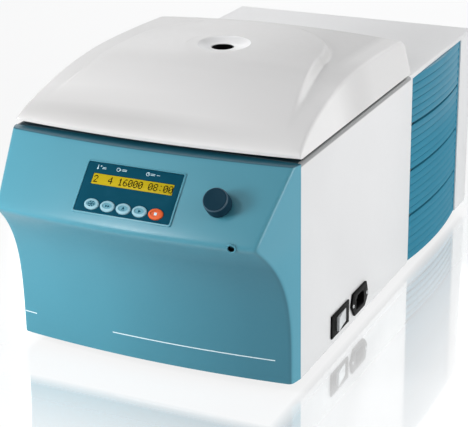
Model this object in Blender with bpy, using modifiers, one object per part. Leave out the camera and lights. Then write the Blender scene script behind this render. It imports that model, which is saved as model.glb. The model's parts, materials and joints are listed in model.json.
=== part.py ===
# Refrigerated bench centrifuge, modelled as separate pieces in metres, +Z up.
# X runs to the viewer's right, -Y is the front with the controls, and the origin is on the
# table under the middle of the machine. A blower-cooled chiller fills the rear of the case.

import bpy
import bmesh
import math
from mathutils import Matrix, Vector

# Driving sizes of the whole machine
CASE_WIDTH = 0.330
CASE_DEPTH = 0.650
CASE_HEIGHT = 0.313
FOOT_HEIGHT = 0.013
LID_GAP = 0.004
LID_HEIGHT = 0.059
PANEL_DEPTH = 0.082
HOUSING_WALL = 0.0035
BOWL_R = 0.108
FOAM_THICK = 0.019
LOCK_ROOM = 0.041
FIT = 0.0003
OVERRUN = 0.004
MERGE = 0.00001

# Planes that follow from them
HALF = CASE_WIDTH / 2
NOSE_Y = -CASE_DEPTH / 2
REAR_Y = CASE_DEPTH / 2
SPLIT_Y = NOSE_Y + PANEL_DEPTH
DECK_Z = CASE_HEIGHT - LID_HEIGHT - LID_GAP
DECK_UNDER_Z = DECK_Z - HOUSING_WALL
FOAM_R = BOWL_R + FOAM_THICK
AXIS_Y = SPLIT_Y + LOCK_ROOM + FOAM_R
INNER_X = HALF - HOUSING_WALL

# Base pan, feet and rear panel
PAN_SHEET = 0.0015
PAN_FLANGE = 0.022
FOOT_TOP_R = 0.013
FOOT_BASE_R = 0.016
FOOT_WAIST_R = 0.011
FOOT_WAIST_HEIGHT = 0.006
FOOT_LIP = 0.002
FOOT_SIDE_INSET = 0.030
FOOT_FRONT_INSET = 0.028
FOOT_REAR_INSET = 0.040
REAR_SHEET = 0.002
REAR_SLOT_WIDTH = 0.0035
REAR_SLOT_LENGTH = 0.070
REAR_SLOT_PITCH = 0.010
REAR_SLOT_COUNT = 13
REAR_SLOT_RISE = 0.120
PAN_Z = FOOT_HEIGHT + PAN_SHEET

# Front panel: the slope, the nose and the hollowed lower front
PANEL_WALL = 0.0035
PANEL_DROP = 0.0005
PANEL_LEDGE = 0.0119
LEDGE_WALL = 0.004
FACE_TILT = math.radians(47.1)
SIDE_TAPER = math.radians(12.6)
BOW = 0.0105
NOSE_ROUND = 0.008
SKIRT_STEP = 0.016
HOLLOW_POWER_SHARE = 3.7
CORNER_ROUND = 0.005
CORNER_SEGMENTS = 3
LOWER_LEVEL_SHARES = (0, 0.2, 0.38, 0.53, 0.66, 0.77, 0.86, 0.93, 0.97)
UPPER_LEVEL_SHARES = (0, 0.04, 0.08, 0.14, 0.24, 0.6, 1)
FRONT_X_SHARES = (-0.75, -0.5, -0.25, 0, 0.25, 0.5, 0.75)
NORMAL_STEP = 0.0005

# Control plate, display and keys, placed on the slope below its top edge
PLATE_WIDTH = 0.109
PLATE_HEIGHT = 0.0545
PLATE_THICK = 0.0020
PLATE_DOWN = 0.0476
PLATE_CORNER = 0.0015
FRAME_BORDER = 0.0022
FRAME_PROUD = 0.0010
FRAME_DEEP = 0.0035
PLATE_SEAT = 0.006
WINDOW_WIDTH = 0.0927
WINDOW_HEIGHT = 0.0122
WINDOW_THICK = 0.0012
WINDOW_DOWN = 0.0382
WINDOW_SHIFT = 0.0012
KEY_PITCH = 0.0183
KEY_COUNT = 5
KEY_DOWN = 0.0661
KEY_SHIFT = 0.0006
KEY_HALF_WIDTH = 0.0083
KEY_HALF_HEIGHT = 0.0060
KEY_PROUD = 0.0012
KEY_STEM = 0.0020
KEY_EDGE = 0.0006
KEY_TRAVEL = 0.0008
BOARD_THICK = 0.0016
BOARD_GAP = 0.007
BOARD_BORDER = 0.003
POST_R = 0.0022
POST_CLEAR_SHARE = 1.3
SWITCH_SIDE = 0.006
DISPLAY_BACK = 0.004

# Knob and encoder
KNOB_INSET = 0.0655
KNOB_X = HALF - KNOB_INSET
KNOB_DOWN = 0.0483
KNOB_R = 0.0135
KNOB_HEIGHT = 0.015
KNOB_RIM = 0.0012
KNOB_DISH = 0.0006
KNOB_SKIRT = 0.0015
KNOB_LIFT = 0.0010
KNOB_SHAFT_R = 0.003
KNOB_SHAFT_DEPTH = 0.009
ENCODER_BUSH_R = 0.0048
ENCODER_SIDE = 0.014
ENCODER_DEPTH = 0.008

# Release port on the nose
PORT_INSET = 0.0419
PORT_X = HALF - PORT_INSET
PORT_R = 0.0033
PORT_TUBE_R = 0.0042
PORT_FLANGE_R = 0.0052
PORT_FLANGE = 0.0016
PORT_SINK = 0.0008
PORT_LENGTH = 0.009

# Side grilles and the partition before them, from the back of the foam to the rear post
PARTITION_GAP = 0.034
PARTITION_Y_GAP = 0.006
GRILLE_POST = 0.045
PARTITION_Y = AXIS_Y + FOAM_R + PARTITION_GAP
GRILLE_FRONT_Y = PARTITION_Y + PARTITION_Y_GAP
GRILLE_REAR_Y = REAR_Y - GRILLE_POST
GRILLE_LENGTH = GRILLE_REAR_Y - GRILLE_FRONT_Y
GRILLE_TOP_STRIP = 0.0045
GRILLE_THICK = 0.006
GRILLE_SET = 0.0015
GRILLE_BOW = 0.0065
GRILLE_SEGMENTS = 4
GRILLE_STILE = 0.004
GRILLE_SLATS = 24
GRILLE_SLATS_PER_FIELD = 6
GRILLE_SLOT = 0.0022
GRILLE_WIDE_SLOT = 0.0030

# Chamber
BOWL_DEPTH = 0.100
BOWL_WALL = 0.0015
BOWL_FLANGE = 0.011
BOWL_FILLET = 0.018
BOWL_FILLET_STEPS = 3
BOWL_NECK_R = 0.016
BOWL_NECK_RISE = 0.006
BOWL_CONE_R = 0.030
BOWL_CLEAR = 0.0010
GASKET_WIDTH = 0.008
GASKET_GAP = 0.0012
GASKET_TAPER = 0.0020
LID_PANEL_LIFT = 0.0045
FOAM_FLOOR = 0.018
FOAM_NECK_R = 0.062
BOWL_FLOOR_Z = DECK_Z - BOWL_DEPTH

# Motor and its mounting
MOTOR_R = 0.052
MOTOR_STAND = 0.044
MOTOR_CLEAR = 0.007
MOTOR_RIB = 0.003
MOTOR_RIB_COUNT = 2
MOTOR_BORE_FLOOR = 0.014
SHAFT_R = 0.008
SHAFT_TIP_R = 0.006
SHAFT_TIP = 0.012
MOTOR_PLATE_R = 0.084
MOTOR_PLATE_THICK = 0.004
DAMPER_CIRCLE_R = 0.066
DAMPER_R = 0.012
DAMPER_BELLY = 0.003
DAMPER_COUNT = 3
MOTOR_TOP_Z = BOWL_FLOOR_Z - BOWL_WALL - MOTOR_CLEAR
MOTOR_BASE_Z = PAN_Z + MOTOR_STAND
MOTOR_HEIGHT = MOTOR_TOP_Z - MOTOR_BASE_Z
SHAFT_RUN = 0.0003

# Rotor, cover and nut
ROTOR_LIFT = 0.018
ROTOR_HEIGHT = 0.059
ROTOR_CLEAR = 0.011
ROTOR_R = BOWL_R - ROTOR_CLEAR
ROTOR_RIM_INSET = 0.009
ROTOR_RIM_R = ROTOR_R - ROTOR_RIM_INSET
ROTOR_RIM = 0.010
ROTOR_FOOT_R = 0.026
ROTOR_BELLY_INSET = 0.011
ROTOR_BELLY_R = ROTOR_R - ROTOR_BELLY_INSET
ROTOR_BELLY = 0.004
ROTOR_WALL = 0.030
ROTOR_HUB_DROP = 0.014
WELL_ANGLE = math.radians(45)
WELL_COUNT = 24
WELL_DEPTH = 0.034
WELL_CIRCLE_SHARE = 0.6705
WELL_CIRCLE_R = ROTOR_RIM_R * WELL_CIRCLE_SHARE
WELL_SHARE = 0.095
WELL_R = WELL_CIRCLE_R * WELL_SHARE
ROTOR_HUB_SHARE = 0.373
ROTOR_HUB_R = WELL_CIRCLE_R * ROTOR_HUB_SHARE
WELL_SIDES = 8
COVER_SHEET = 0.002
COVER_CROWN = 0.004
NUT_R = 0.016
NUT_HEIGHT = 0.010
NUT_WAIST = 0.003
NUT_STEM_R = 0.006
NUT_STEM_DEPTH = 0.006
ROTOR_BASE_Z = BOWL_FLOOR_Z + ROTOR_LIFT
ROTOR_TOP_Z = ROTOR_BASE_Z + ROTOR_HEIGHT

# Lid
LID_SETBACK = 0.001
LID_REAR_MARGIN = 0.033
LID_SKIN = 0.003
LID_LIP = 0.003
LID_LEAN = 0.009
LID_SHOULDER = 0.043
LID_CREST_BACK = 0.135
LID_ARCH_SHARE = 0.75
LID_REAR_FALL = 0.004
LID_REAR_ROUND = 0.013
LID_REAR_STEPS = 3
FIELD_BORDER = 0.014
FIELD_R = BOWL_R + FIELD_BORDER
FIELD_RISE = 0.0085
FIELD_EDGE = 0.014
FIELD_FLARE_SHARE = 0.15
FIELD_FADE_START = 0.030
FIELD_FADE_RUN = 0.105
HUB_R = 0.034
HUB_DISH = 0.004
HUB_RIM = 0.0025
SIGHT_R = 0.0125
SIGHT_FLANGE_R = 0.018
SIGHT_FLANGE = 0.0025
LID_PANEL_SHEET = 0.0025
LID_PANEL_FRONT = 0.014
LID_PANEL_REAR = 0.025
LID_PANEL_CLEAR = 0.0045
LID_X_SHARES = (-1, -0.96, -0.81, -0.75, -0.68, -0.5, -0.25, 0,
                0.25, 0.5, 0.68, 0.75, 0.81, 0.96, 1)
LID_Y_SHARES = (0, 0.03, 0.08, 0.15, 0.24, 0.34, 0.45, 0.56, 0.67, 0.77, 0.85, 0.92, 1)
SEAM_Z = DECK_Z + LID_GAP
LID_FRONT_Y = SPLIT_Y + LID_SETBACK
LID_REAR_Y = AXIS_Y + FOAM_R + LID_REAR_MARGIN
LID_DEPTH = LID_REAR_Y - LID_FRONT_Y
LID_PANEL_Z = DECK_Z + LID_PANEL_LIFT
LID_CREST_Y = LID_REAR_Y - LID_CREST_BACK
LID_CREST_RUN = LID_CREST_Y - LID_FRONT_Y
LID_CROWN = LID_HEIGHT - LID_SHOULDER - FIELD_RISE

# Hinges behind the lid
HINGE_INSET = 0.060
HINGE_X = HALF - HINGE_INSET
HINGE_BACK = 0.0055
HINGE_RISE = 0.006
HINGE_WIDTH = 0.040
HINGE_KNUCKLE = 0.018
HINGE_BARREL_R = 0.005
HINGE_PIN_R = 0.002
HINGE_SHEET = 0.002
HINGE_LEAF = 0.027
HINGE_LEAF_RISE = 0.024
HINGE_SIDES = 12
HINGE_Y = LID_REAR_Y + HINGE_BACK
HINGE_Z = DECK_Z + HINGE_RISE

# Lid lock
STRIKER_SETBACK = 0.0205
STRIKER_WIDTH = 0.020
STRIKER_THICK = 0.003
STRIKER_DROP = 0.030
STRIKER_FLANGE = 0.0013
STRIKER_FLANGE_DEPTH = 0.007
STRIKER_EYE_WIDTH = 0.009
STRIKER_EYE_HEIGHT = 0.006
STRIKER_EYE_RISE = 0.005
LOCK_SLOT_WIDTH = 0.028
LOCK_SLOT_DEPTH = 0.009
LOCK_WIDTH = 0.060
LOCK_DEPTH = 0.026
LOCK_HEIGHT = 0.044
LOCK_FORWARD = 0.002
BOLT_WIDTH = 0.007
BOLT_HEIGHT = 0.004
BOLT_LENGTH = 0.0105
BOLT_CLEAR = 0.0006

# Mains switch and inlet in the right wall
SWITCH_SETBACK = 0.107
SWITCH_RISE = 0.022
SWITCH_LENGTH = 0.051
SWITCH_HEIGHT = 0.027
SWITCH_PROUD = 0.0022
SWITCH_DEPTH = 0.024
SWITCH_BORDER_FRONT = 0.013
SWITCH_BORDER_REAR = 0.007
SWITCH_BORDER_TOP = 0.006
SWITCH_BORDER_LOW = 0.0035
SWITCH_EDGE = 0.0008
ROCKER_TILT = math.radians(7)
ROCKER_PROUD = 0.0010
ROCKER_AXIS_DEPTH = 0.005
ROCKER_THICK = 0.0032
ROCKER_CLEAR = 0.0012
ROCKER_PIVOT_R = 0.0030
INLET_SETBACK = 0.1645
INLET_LENGTH = 0.051
INLET_HEIGHT = 0.0285
INLET_CHAMFER = 0.010
INLET_FLANGE = 0.0025
INLET_BODY_LENGTH = 0.030
INLET_BODY_HEIGHT = 0.022
INLET_DEPTH = 0.026
INLET_SOCKET_LENGTH = 0.024
INLET_SOCKET_HEIGHT = 0.0165
INLET_SOCKET_DEPTH = 0.018
INLET_SOCKET_CHAMFER = 0.004
INLET_PIN_LENGTH = 0.012
INLET_PIN_WIDTH = 0.002
INLET_PIN_HEIGHT = 0.004
INLET_PIN_PITCH = 0.007
INLET_PIN_RISE = 0.003

# Drive module beside the motor
MODULE_WIDTH = 0.052
MODULE_LENGTH = 0.120
MODULE_HEIGHT = 0.060
MODULE_BASE = 0.014
MODULE_FIN = 0.003
MODULE_FIN_COUNT = 7
MODULE_SIDE_INSET = 0.004
MODULE_FRONT_INSET = 0.020

# Chiller
PARTITION_SHEET = 0.0015
BAY_DEPTH = REAR_Y - REAR_SHEET - PARTITION_Y
CONDENSER_MARGIN = 0.011
CONDENSER_HEADROOM = 0.032
CONDENSER_LENGTH = GRILLE_LENGTH - CONDENSER_MARGIN * 2
CONDENSER_HEIGHT = DECK_UNDER_Z - PAN_Z - CONDENSER_HEADROOM
COMPRESSOR_SHARE = 0.2363
COMPRESSOR_HEIGHT_SHARE = 0.75
COMPRESSOR_BACK_SHARE = 0.422
COMPRESSOR_R = BAY_DEPTH * COMPRESSOR_SHARE
COMPRESSOR_HEIGHT = CONDENSER_HEIGHT * COMPRESSOR_HEIGHT_SHARE
COMPRESSOR_INSET = 0.107
COMPRESSOR_X = HALF - COMPRESSOR_INSET
COMPRESSOR_BACK = BAY_DEPTH * COMPRESSOR_BACK_SHARE
COMPRESSOR_DOME = 0.028
COMPRESSOR_BAND = 0.003
COMPRESSOR_BAND_HEIGHT = 0.008
COMPRESSOR_LUG = 0.006
COMPRESSOR_FOOT_R = COMPRESSOR_R + COMPRESSOR_LUG
COMPRESSOR_FOOT = 0.004
CONDENSER_THICK = 0.026
CONDENSER_FIN_PITCH = 0.018
CONDENSER_FIN = 0.003
CONDENSER_FIN_DEPTH = 0.008
CONDENSER_GAP = 0.012
FAN_FRAME_THICK = 0.027
FAN_BORDER = 0.005
FAN_OPENING_R = min(CONDENSER_LENGTH, CONDENSER_HEIGHT) / 2 - FAN_BORDER
FAN_ARM = 0.010
FAN_ARM_THICK = 0.004
FAN_MOTOR_SHARE = 0.27
FAN_MOTOR_R = FAN_OPENING_R * FAN_MOTOR_SHARE
FAN_MOTOR_THICK = 0.012
FAN_SHAFT_R = 0.003
FAN_SHAFT_LENGTH = 0.008
FAN_HUB_SHARE = 0.282
FAN_ROOT_SHARE = 0.909
FAN_HUB_R = FAN_OPENING_R * FAN_HUB_SHARE
FAN_HUB_THICK = 0.011
FAN_BLADE_R = FAN_OPENING_R - FAN_BORDER
FAN_BLADE_COUNT = 7
FAN_CHORD_SHARE = 0.385
FAN_BLADE_CHORD = FAN_OPENING_R * FAN_CHORD_SHARE
FAN_BLADE_THICK = 0.0018
FAN_BLADE_PITCH = math.radians(20)
LINE_R = 0.0032
LINE_RISE = 0.018
LINE_BEND = 0.012

# Colours as the surfaces look, with roughness and metallic value
FINISHES = {
    "white_enamel": ((0.80, 0.80, 0.79), 0.45, 0),
    "teal_moulding": ((0.13, 0.39, 0.50), 0.40, 0),
    "navy_plate": ((0.01, 0.09, 0.14), 0.35, 0),
    "display_amber": ((0.62, 0.50, 0.03), 0.25, 0),
    "pale_key": ((0.52, 0.66, 0.74), 0.45, 0),
    "stop_key": ((0.80, 0.18, 0.07), 0.45, 0),
    "slate_knob": ((0.03, 0.06, 0.09), 0.35, 0),
    "black_plastic": ((0.01, 0.01, 0.01), 0.45, 0),
    "grey_plastic": ((0.45, 0.46, 0.46), 0.5, 0),
    "smoked_glass": ((0.02, 0.02, 0.02), 0.1, 0),
    "black_rubber": ((0.02, 0.02, 0.02), 0.8, 0),
    "polished_steel": ((0.60, 0.61, 0.62), 0.25, 1),
    "zinc_sheet": ((0.50, 0.51, 0.52), 0.45, 1),
    "rotor_aluminium": ((0.62, 0.63, 0.65), 0.35, 1),
    "dark_enamel": ((0.02, 0.02, 0.02), 0.4, 0),
    "copper": ((0.72, 0.36, 0.22), 0.3, 1),
    "foam": ((0.70, 0.66, 0.52), 0.9, 0),
    "green_board": ((0.02, 0.18, 0.08), 0.5, 0),
}


def start_scene():
    """Empty the scene and make the two collections that the model uses."""
    for old in list(bpy.data.objects):
        bpy.data.objects.remove(old, do_unlink=True)
    made = []
    for name in ("refrigerated_centrifuge", "cutters"):
        group = bpy.data.collections.new(name)
        bpy.context.scene.collection.children.link(group)
        made.append(group)
    return made


PARTS, CUTTERS = start_scene()


def finish(name):
    """Give the material of that name, making it the first time."""
    found = bpy.data.materials.get(name)
    if found:
        return found
    colour, roughness, metallic = FINISHES[name]
    made = bpy.data.materials.new(name)
    made.use_nodes = True
    shader = made.node_tree.nodes["Principled BSDF"]
    shader.inputs["Base Color"].default_value = (*colour, 1)
    shader.inputs["Roughness"].default_value = roughness
    shader.inputs["Metallic"].default_value = metallic
    return made


def put(name, data, material=None, place=None):
    """Link a new object, as a part when it has a material and as a cutter when it has none."""
    made = bpy.data.objects.new(name, data)
    made.matrix_world = place or Matrix.Identity(4)
    if material:
        PARTS.objects.link(made)
        data.materials.append(finish(material))
    else:
        CUTTERS.objects.link(made)
        made.hide_render = True
        made.display_type = "WIRE"
    return made


def mesh_from(name, bm):
    """Turn a bmesh into mesh data with outward faces, smooth where the form is round."""
    bmesh.ops.remove_doubles(bm, verts=bm.verts, dist=MERGE)
    bmesh.ops.recalc_face_normals(bm, faces=bm.faces)
    data = bpy.data.meshes.new(name)
    bm.to_mesh(data)
    bm.free()
    data.shade_smooth()
    data.set_sharp_from_angle(angle=math.radians(35))
    return data


def block(name, low, high, material=None, place=None, edge=0, picked=None):
    """A box between two corners, with the picked edges rounded."""
    low, high = Vector(low), Vector(high)
    bm = bmesh.new()
    bmesh.ops.create_cube(bm, size=1)
    bmesh.ops.scale(bm, vec=high - low, verts=bm.verts)
    bmesh.ops.translate(bm, vec=(high + low) / 2, verts=bm.verts)
    if edge:
        chosen = [e for e in bm.edges if picked is None or picked(e, low, high)]
        bmesh.ops.bevel(bm, geom=chosen, offset=edge, segments=2, affect="EDGES", profile=0.5)
    return put(name, mesh_from(name, bm), material, place)


def upright(edge, low, high):
    """True for an edge that runs along the box's own Z."""
    first, second = edge.verts
    return abs(first.co.z - second.co.z) > (high.z - low.z) / 2


def drum(name, radii, bottom, top, material=None, place=None, sides=32):
    """A round or oval cylinder; radii are its half widths along X and Y."""
    bm = bmesh.new()
    stand = Matrix.Translation((0, 0, (bottom + top) / 2))
    size = Matrix.Diagonal((radii[0], radii[1], top - bottom, 1))
    bmesh.ops.create_cone(bm, cap_ends=True, segments=sides, radius1=1, radius2=1, depth=1,
                          matrix=stand @ size)
    return put(name, mesh_from(name, bm), material, place)


def turned(name, profile, material=None, place=None, steps=32, ring=False, sheet=0):
    """Turn a profile of (radius, height) points, listed down the outer side, about Z."""
    data = bpy.data.meshes.new(name)
    count = len(profile)
    edges = [(i, i + 1) for i in range(count - 1)]
    if ring:
        edges.append((count - 1, 0))
    data.from_pydata([(radius, 0, height) for radius, height in profile], edges, [])
    made = put(name, data, material, place)
    screw = made.modifiers.new("turn", "SCREW")
    screw.axis = "Z"
    screw.steps = screw.render_steps = steps
    screw.use_merge_vertices = True
    screw.merge_threshold = MERGE
    screw.use_smooth_shade = True
    if sheet:
        wall = made.modifiers.new("sheet", "SOLIDIFY")
        wall.thickness = sheet
        wall.offset = 0
    return made


def flat_shape(name, outline, thickness, material=None, place=None):
    """A flat outline with a thickness, centred on its own plane, as a closed mesh."""
    curve = bpy.data.curves.new(name, "CURVE")
    curve.dimensions = "2D"
    curve.fill_mode = "BOTH"
    curve.extrude = thickness / 2
    line = curve.splines.new("POLY")
    line.points.add(len(outline) - 1)
    for point, (x, y) in zip(line.points, outline):
        point.co = (x, y, 0, 1)
    line.use_cyclic_u = True
    guide = put(name + "_outline", curve)
    bpy.context.view_layer.update()
    sight = bpy.context.evaluated_depsgraph_get()
    data = bpy.data.meshes.new_from_object(guide.evaluated_get(sight))
    bpy.data.objects.remove(guide, do_unlink=True)
    bm = bmesh.new()
    bm.from_mesh(data)
    bpy.data.meshes.remove(data)
    return put(name, mesh_from(name, bm), material, place)


def loft(name, rings, material=None, place=None):
    """Skin a stack of closed rings that all have the same number of points."""
    bm = bmesh.new()
    rows = [[bm.verts.new(point) for point in ring] for ring in rings]
    count = len(rows[0])
    for low, high in zip(rows, rows[1:]):
        for i in range(count):
            j = (i + 1) % count
            bm.faces.new((low[i], low[j], high[j], high[i]))
    bm.faces.new(rows[0])
    bm.faces.new(rows[-1])
    return put(name, mesh_from(name, bm), material, place)


def pipe(name, points, radius, material):
    """A tube along a chain of points, with closed ends."""
    curve = bpy.data.curves.new(name, "CURVE")
    curve.dimensions = "3D"
    curve.bevel_depth = radius
    curve.bevel_resolution = 2
    curve.use_fill_caps = True
    line = curve.splines.new("POLY")
    line.points.add(len(points) - 1)
    for point, spot in zip(line.points, points):
        point.co = (*spot, 1)
    return put(name, curve, material)


def combine(piece, tool, operation):
    """Cut, join or keep what is common with a tool, by a live Boolean."""
    step = piece.modifiers.new(operation.lower() + "_" + tool.name, "BOOLEAN")
    step.object = tool
    step.operation = operation
    step.solver = "EXACT"
    return piece


def cut(piece, *tools):
    for tool in tools:
        combine(piece, tool, "DIFFERENCE")
    return piece


def join(piece, *tools):
    for tool in tools:
        combine(piece, tool, "UNION")
    return piece


def merged_tools(name, tools):
    """Put the meshes of several separate tools into one cutter object."""
    bm = bmesh.new()
    for tool in tools:
        part = bmesh.new()
        part.from_mesh(tool.data)
        part.transform(tool.matrix_world)
        spare = bpy.data.meshes.new(name)
        part.to_mesh(spare)
        part.free()
        bm.from_mesh(spare)
        bpy.data.meshes.remove(spare)
        bpy.data.objects.remove(tool, do_unlink=True)
    data = bpy.data.meshes.new(name)
    bm.to_mesh(data)
    bm.free()
    return put(name, data)


def carry(axis_name, spot, pieces):
    """Hang pieces on an empty that stands on their joint's axis."""
    axis = bpy.data.objects.new(axis_name, None)
    axis.location = spot
    PARTS.objects.link(axis)
    bpy.context.view_layer.update()
    for piece in pieces:
        piece.parent = axis
        piece.matrix_parent_inverse = axis.matrix_world.inverted()


# Lines of the front panel, shared by the panel and everything that sits on it

PANEL_TOP_Z = DECK_Z - PANEL_DROP
SLOPE_Y = SPLIT_Y - PANEL_LEDGE
NOSE_CORNER_Y = NOSE_Y + BOW - NOSE_ROUND / 2
NOSE_Z = PANEL_TOP_Z - (SLOPE_Y - NOSE_CORNER_Y) * math.tan(FACE_TILT)
SKIRT_Y = SPLIT_Y - SKIRT_STEP


def corner_y(z):
    """Where the panel's corner line runs at a height: hollow below, sloped above, round nose."""
    sloped = SLOPE_Y - (PANEL_TOP_Z - z) / math.tan(FACE_TILT)
    reach = SKIRT_Y - NOSE_CORNER_Y
    share = max(z - FOOT_HEIGHT, 0) / (NOSE_Z - FOOT_HEIGHT)
    hollow = SKIRT_Y - reach * share ** HOLLOW_POWER_SHARE
    return (sloped + hollow + math.sqrt((sloped - hollow) ** 2 + NOSE_ROUND ** 2)) / 2


def corner_x(y):
    """Half width of the panel at a depth: its sides draw in towards the nose."""
    return HALF - (SPLIT_Y - y) * math.tan(SIDE_TAPER)


def face_point(x, z):
    """A point on the bowed front at a side place and a height."""
    y = corner_y(z)
    return Vector((x, y - BOW * (1 - (x / corner_x(y)) ** 2), z))


def face_frame(x, z):
    """A frame on the front: X to the right, Z straight out of the surface."""
    spot = face_point(x, z)
    across = face_point(x + NORMAL_STEP, z) - face_point(x - NORMAL_STEP, z)
    up = face_point(x, z + NORMAL_STEP) - face_point(x, z - NORMAL_STEP)
    across.normalize()
    out = across.cross(up).normalized()
    up = out.cross(across)
    turn = Matrix((across, up, out)).transposed().to_4x4()
    return Matrix.Translation(spot) @ turn


def slope_z(down):
    """Height of a point that lies so far down the slope from its top edge."""
    return PANEL_TOP_Z - down * math.sin(FACE_TILT)


def plate_spot(x, down):
    """A point in the control plate's own plane, by side place and way down the slope."""
    return Vector((x, PLATE_DOWN - down, 0))


PLATE_FRAME = face_frame(0, slope_z(PLATE_DOWN))
KNOB_FRAME = face_frame(KNOB_X, slope_z(KNOB_DOWN))
PORT_FRAME = face_frame(PORT_X, NOSE_Z)
PLATE_TOP = FRAME_PROUD - FIT
PLATE_FLOOR = PLATE_TOP - PLATE_THICK


def panel_ring(z, wall, rear_y=None):
    """One level of the panel: along the outside, then back along the inside."""
    y = corner_y(z)
    half = corner_x(y)
    front_y = SPLIT_Y - FIT
    start = Vector((-corner_x(front_y), front_y, z))
    corner = Vector((-half, y, z))
    first = Vector((half * FRONT_X_SHARES[0], 0, z))
    first.y = y - BOW * (1 - FRONT_X_SHARES[0] ** 2)
    before = corner + (start - corner).normalized() * CORNER_ROUND
    after = corner + (first - corner).normalized() * CORNER_ROUND
    left = [start]
    for i in range(CORNER_SEGMENTS + 1):
        t = i / CORNER_SEGMENTS
        left.append(before * (1 - t) ** 2 + corner * (2 * t * (1 - t)) + after * t ** 2)
    middle = []
    for share in FRONT_X_SHARES:
        middle.append(Vector((half * share, y - BOW * (1 - share ** 2), z)))
    right = [Vector((-p.x, p.y, p.z)) for p in reversed(left)]
    outer = left + middle + right
    inner = []
    for point in reversed(outer):
        shrink = (half - wall) / half
        if rear_y is None:
            inner_y = min(point.y + wall, front_y)
        else:
            inner_y = rear_y
        inner.append(Vector((point.x * shrink, inner_y, z)))
    inner[0].y = inner[-1].y = front_y
    return outer + inner


def front_panel():
    """The teal moulding: a loft of level sections, then the framed pocket and the holes."""
    under_ledge = PANEL_TOP_Z - LEDGE_WALL
    levels = [FOOT_HEIGHT + (NOSE_Z - FOOT_HEIGHT) * s for s in LOWER_LEVEL_SHARES]
    levels += [NOSE_Z + (under_ledge - NOSE_Z) * s for s in UPPER_LEVEL_SHARES]
    rings = []
    for z in levels:
        slant = (corner_y(z + NORMAL_STEP) - corner_y(z - NORMAL_STEP)) / (2 * NORMAL_STEP)
        rings.append(panel_ring(z, PANEL_WALL * math.sqrt(1 + slant ** 2)))
    rings.append(panel_ring(under_ledge + FIT, PANEL_WALL, SPLIT_Y - FIT - MERGE))
    rings.append(panel_ring(PANEL_TOP_Z, PANEL_WALL, SPLIT_Y - FIT - MERGE))
    panel = loft("front_panel", rings, "teal_moulding")
    wide = PLATE_WIDTH / 2 + FIT
    tall = PLATE_HEIGHT / 2 + FIT
    rim = block("panel_frame", (-wide - FRAME_BORDER, -tall - FRAME_BORDER, -FRAME_DEEP),
                (wide + FRAME_BORDER, tall + FRAME_BORDER, FRAME_PROUD), None, PLATE_FRAME,
                PLATE_CORNER, upright)
    pocket = block("panel_pocket", (-wide, -tall, PLATE_FLOOR - FIT), (wide, tall, OVERRUN), None,
                   PLATE_FRAME, PLATE_CORNER, upright)
    under_keys = key_spot(0).y - KEY_HALF_HEIGHT - KEY_TRAVEL
    opening = block("panel_opening", (PLATE_SEAT - wide, under_keys, -FRAME_DEEP - OVERRUN),
                    (wide - PLATE_SEAT, tall - PLATE_SEAT, OVERRUN), None, PLATE_FRAME)
    knob_hole = drum("panel_knob_hole", (ENCODER_BUSH_R + FIT, ENCODER_BUSH_R + FIT),
                     -PANEL_WALL - OVERRUN, OVERRUN, None, KNOB_FRAME, 20)
    port_hole = drum("panel_port_hole", (PORT_TUBE_R + FIT, PORT_TUBE_R + FIT),
                     -PORT_LENGTH - OVERRUN, OVERRUN, None, PORT_FRAME, 20)
    port_seat = drum("panel_port_seat", (PORT_FLANGE_R + FIT, PORT_FLANGE_R + FIT),
                     -PORT_SINK - FIT, OVERRUN, None, PORT_FRAME, 20)
    join(panel, rim)
    return cut(panel, pocket, opening, knob_hole, port_hole, port_seat)


def key_spot(i):
    """Middle of a key in the plate's frame."""
    return plate_spot((i - (KEY_COUNT - 1) / 2) * KEY_PITCH + KEY_SHIFT, KEY_DOWN)


def control_plate():
    """The dark plate in the framed pocket, with its window and five key holes."""
    plate = block("control_plate", (-PLATE_WIDTH / 2, -PLATE_HEIGHT / 2, PLATE_FLOOR),
                  (PLATE_WIDTH / 2, PLATE_HEIGHT / 2, PLATE_TOP), "navy_plate", PLATE_FRAME,
                  PLATE_CORNER, upright)
    centre = plate_spot(WINDOW_SHIFT, WINDOW_DOWN)
    half = Vector((WINDOW_WIDTH / 2, WINDOW_HEIGHT / 2, 0))
    ledge = Vector((BOARD_BORDER, FRAME_BORDER / 2, 0))
    pocket = block("plate_window_pocket", centre - half + Vector((0, 0, PLATE_TOP - WINDOW_THICK)),
                   centre + half + Vector((0, 0, OVERRUN)), None, PLATE_FRAME)
    light = block("plate_window_hole", centre - half + ledge + Vector((0, 0, -OVERRUN)),
                  centre + half - ledge + Vector((0, 0, OVERRUN)), None, PLATE_FRAME)
    cut(plate, pocket, light)
    holes = []
    for i in range(KEY_COUNT):
        holes.append(drum(f"plate_key_hole_{i}", (KEY_HALF_WIDTH + FIT, KEY_HALF_HEIGHT + FIT),
                          PLATE_FLOOR - OVERRUN, PLATE_TOP + OVERRUN, None,
                          PLATE_FRAME @ Matrix.Translation(key_spot(i)), 16))
    cut(plate, merged_tools("plate_key_holes", holes))
    low = centre - half + Vector((FIT, FIT, PLATE_TOP - WINDOW_THICK + FIT))
    high = centre + half + Vector((-FIT, -FIT, PLATE_TOP))
    block("display_window", low, high, "display_amber", PLATE_FRAME)
    return plate


def keys():
    """Five oval keys that travel straight into the plate."""
    names = ("key_cooling", "key_first", "key_second", "key_third", "key_stop")
    for i, name in enumerate(names):
        finish_name = "stop_key" if name == "key_stop" else "pale_key"
        key = drum(name, (KEY_HALF_WIDTH, KEY_HALF_HEIGHT), PLATE_FLOOR - KEY_STEM,
                   PLATE_TOP + KEY_PROUD, finish_name,
                   PLATE_FRAME @ Matrix.Translation(key_spot(i)), 16)
        edge = key.modifiers.new("soft_edge", "BEVEL")
        edge.width = KEY_EDGE
        edge.segments = 1
        edge.limit_method = "ANGLE"


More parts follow.
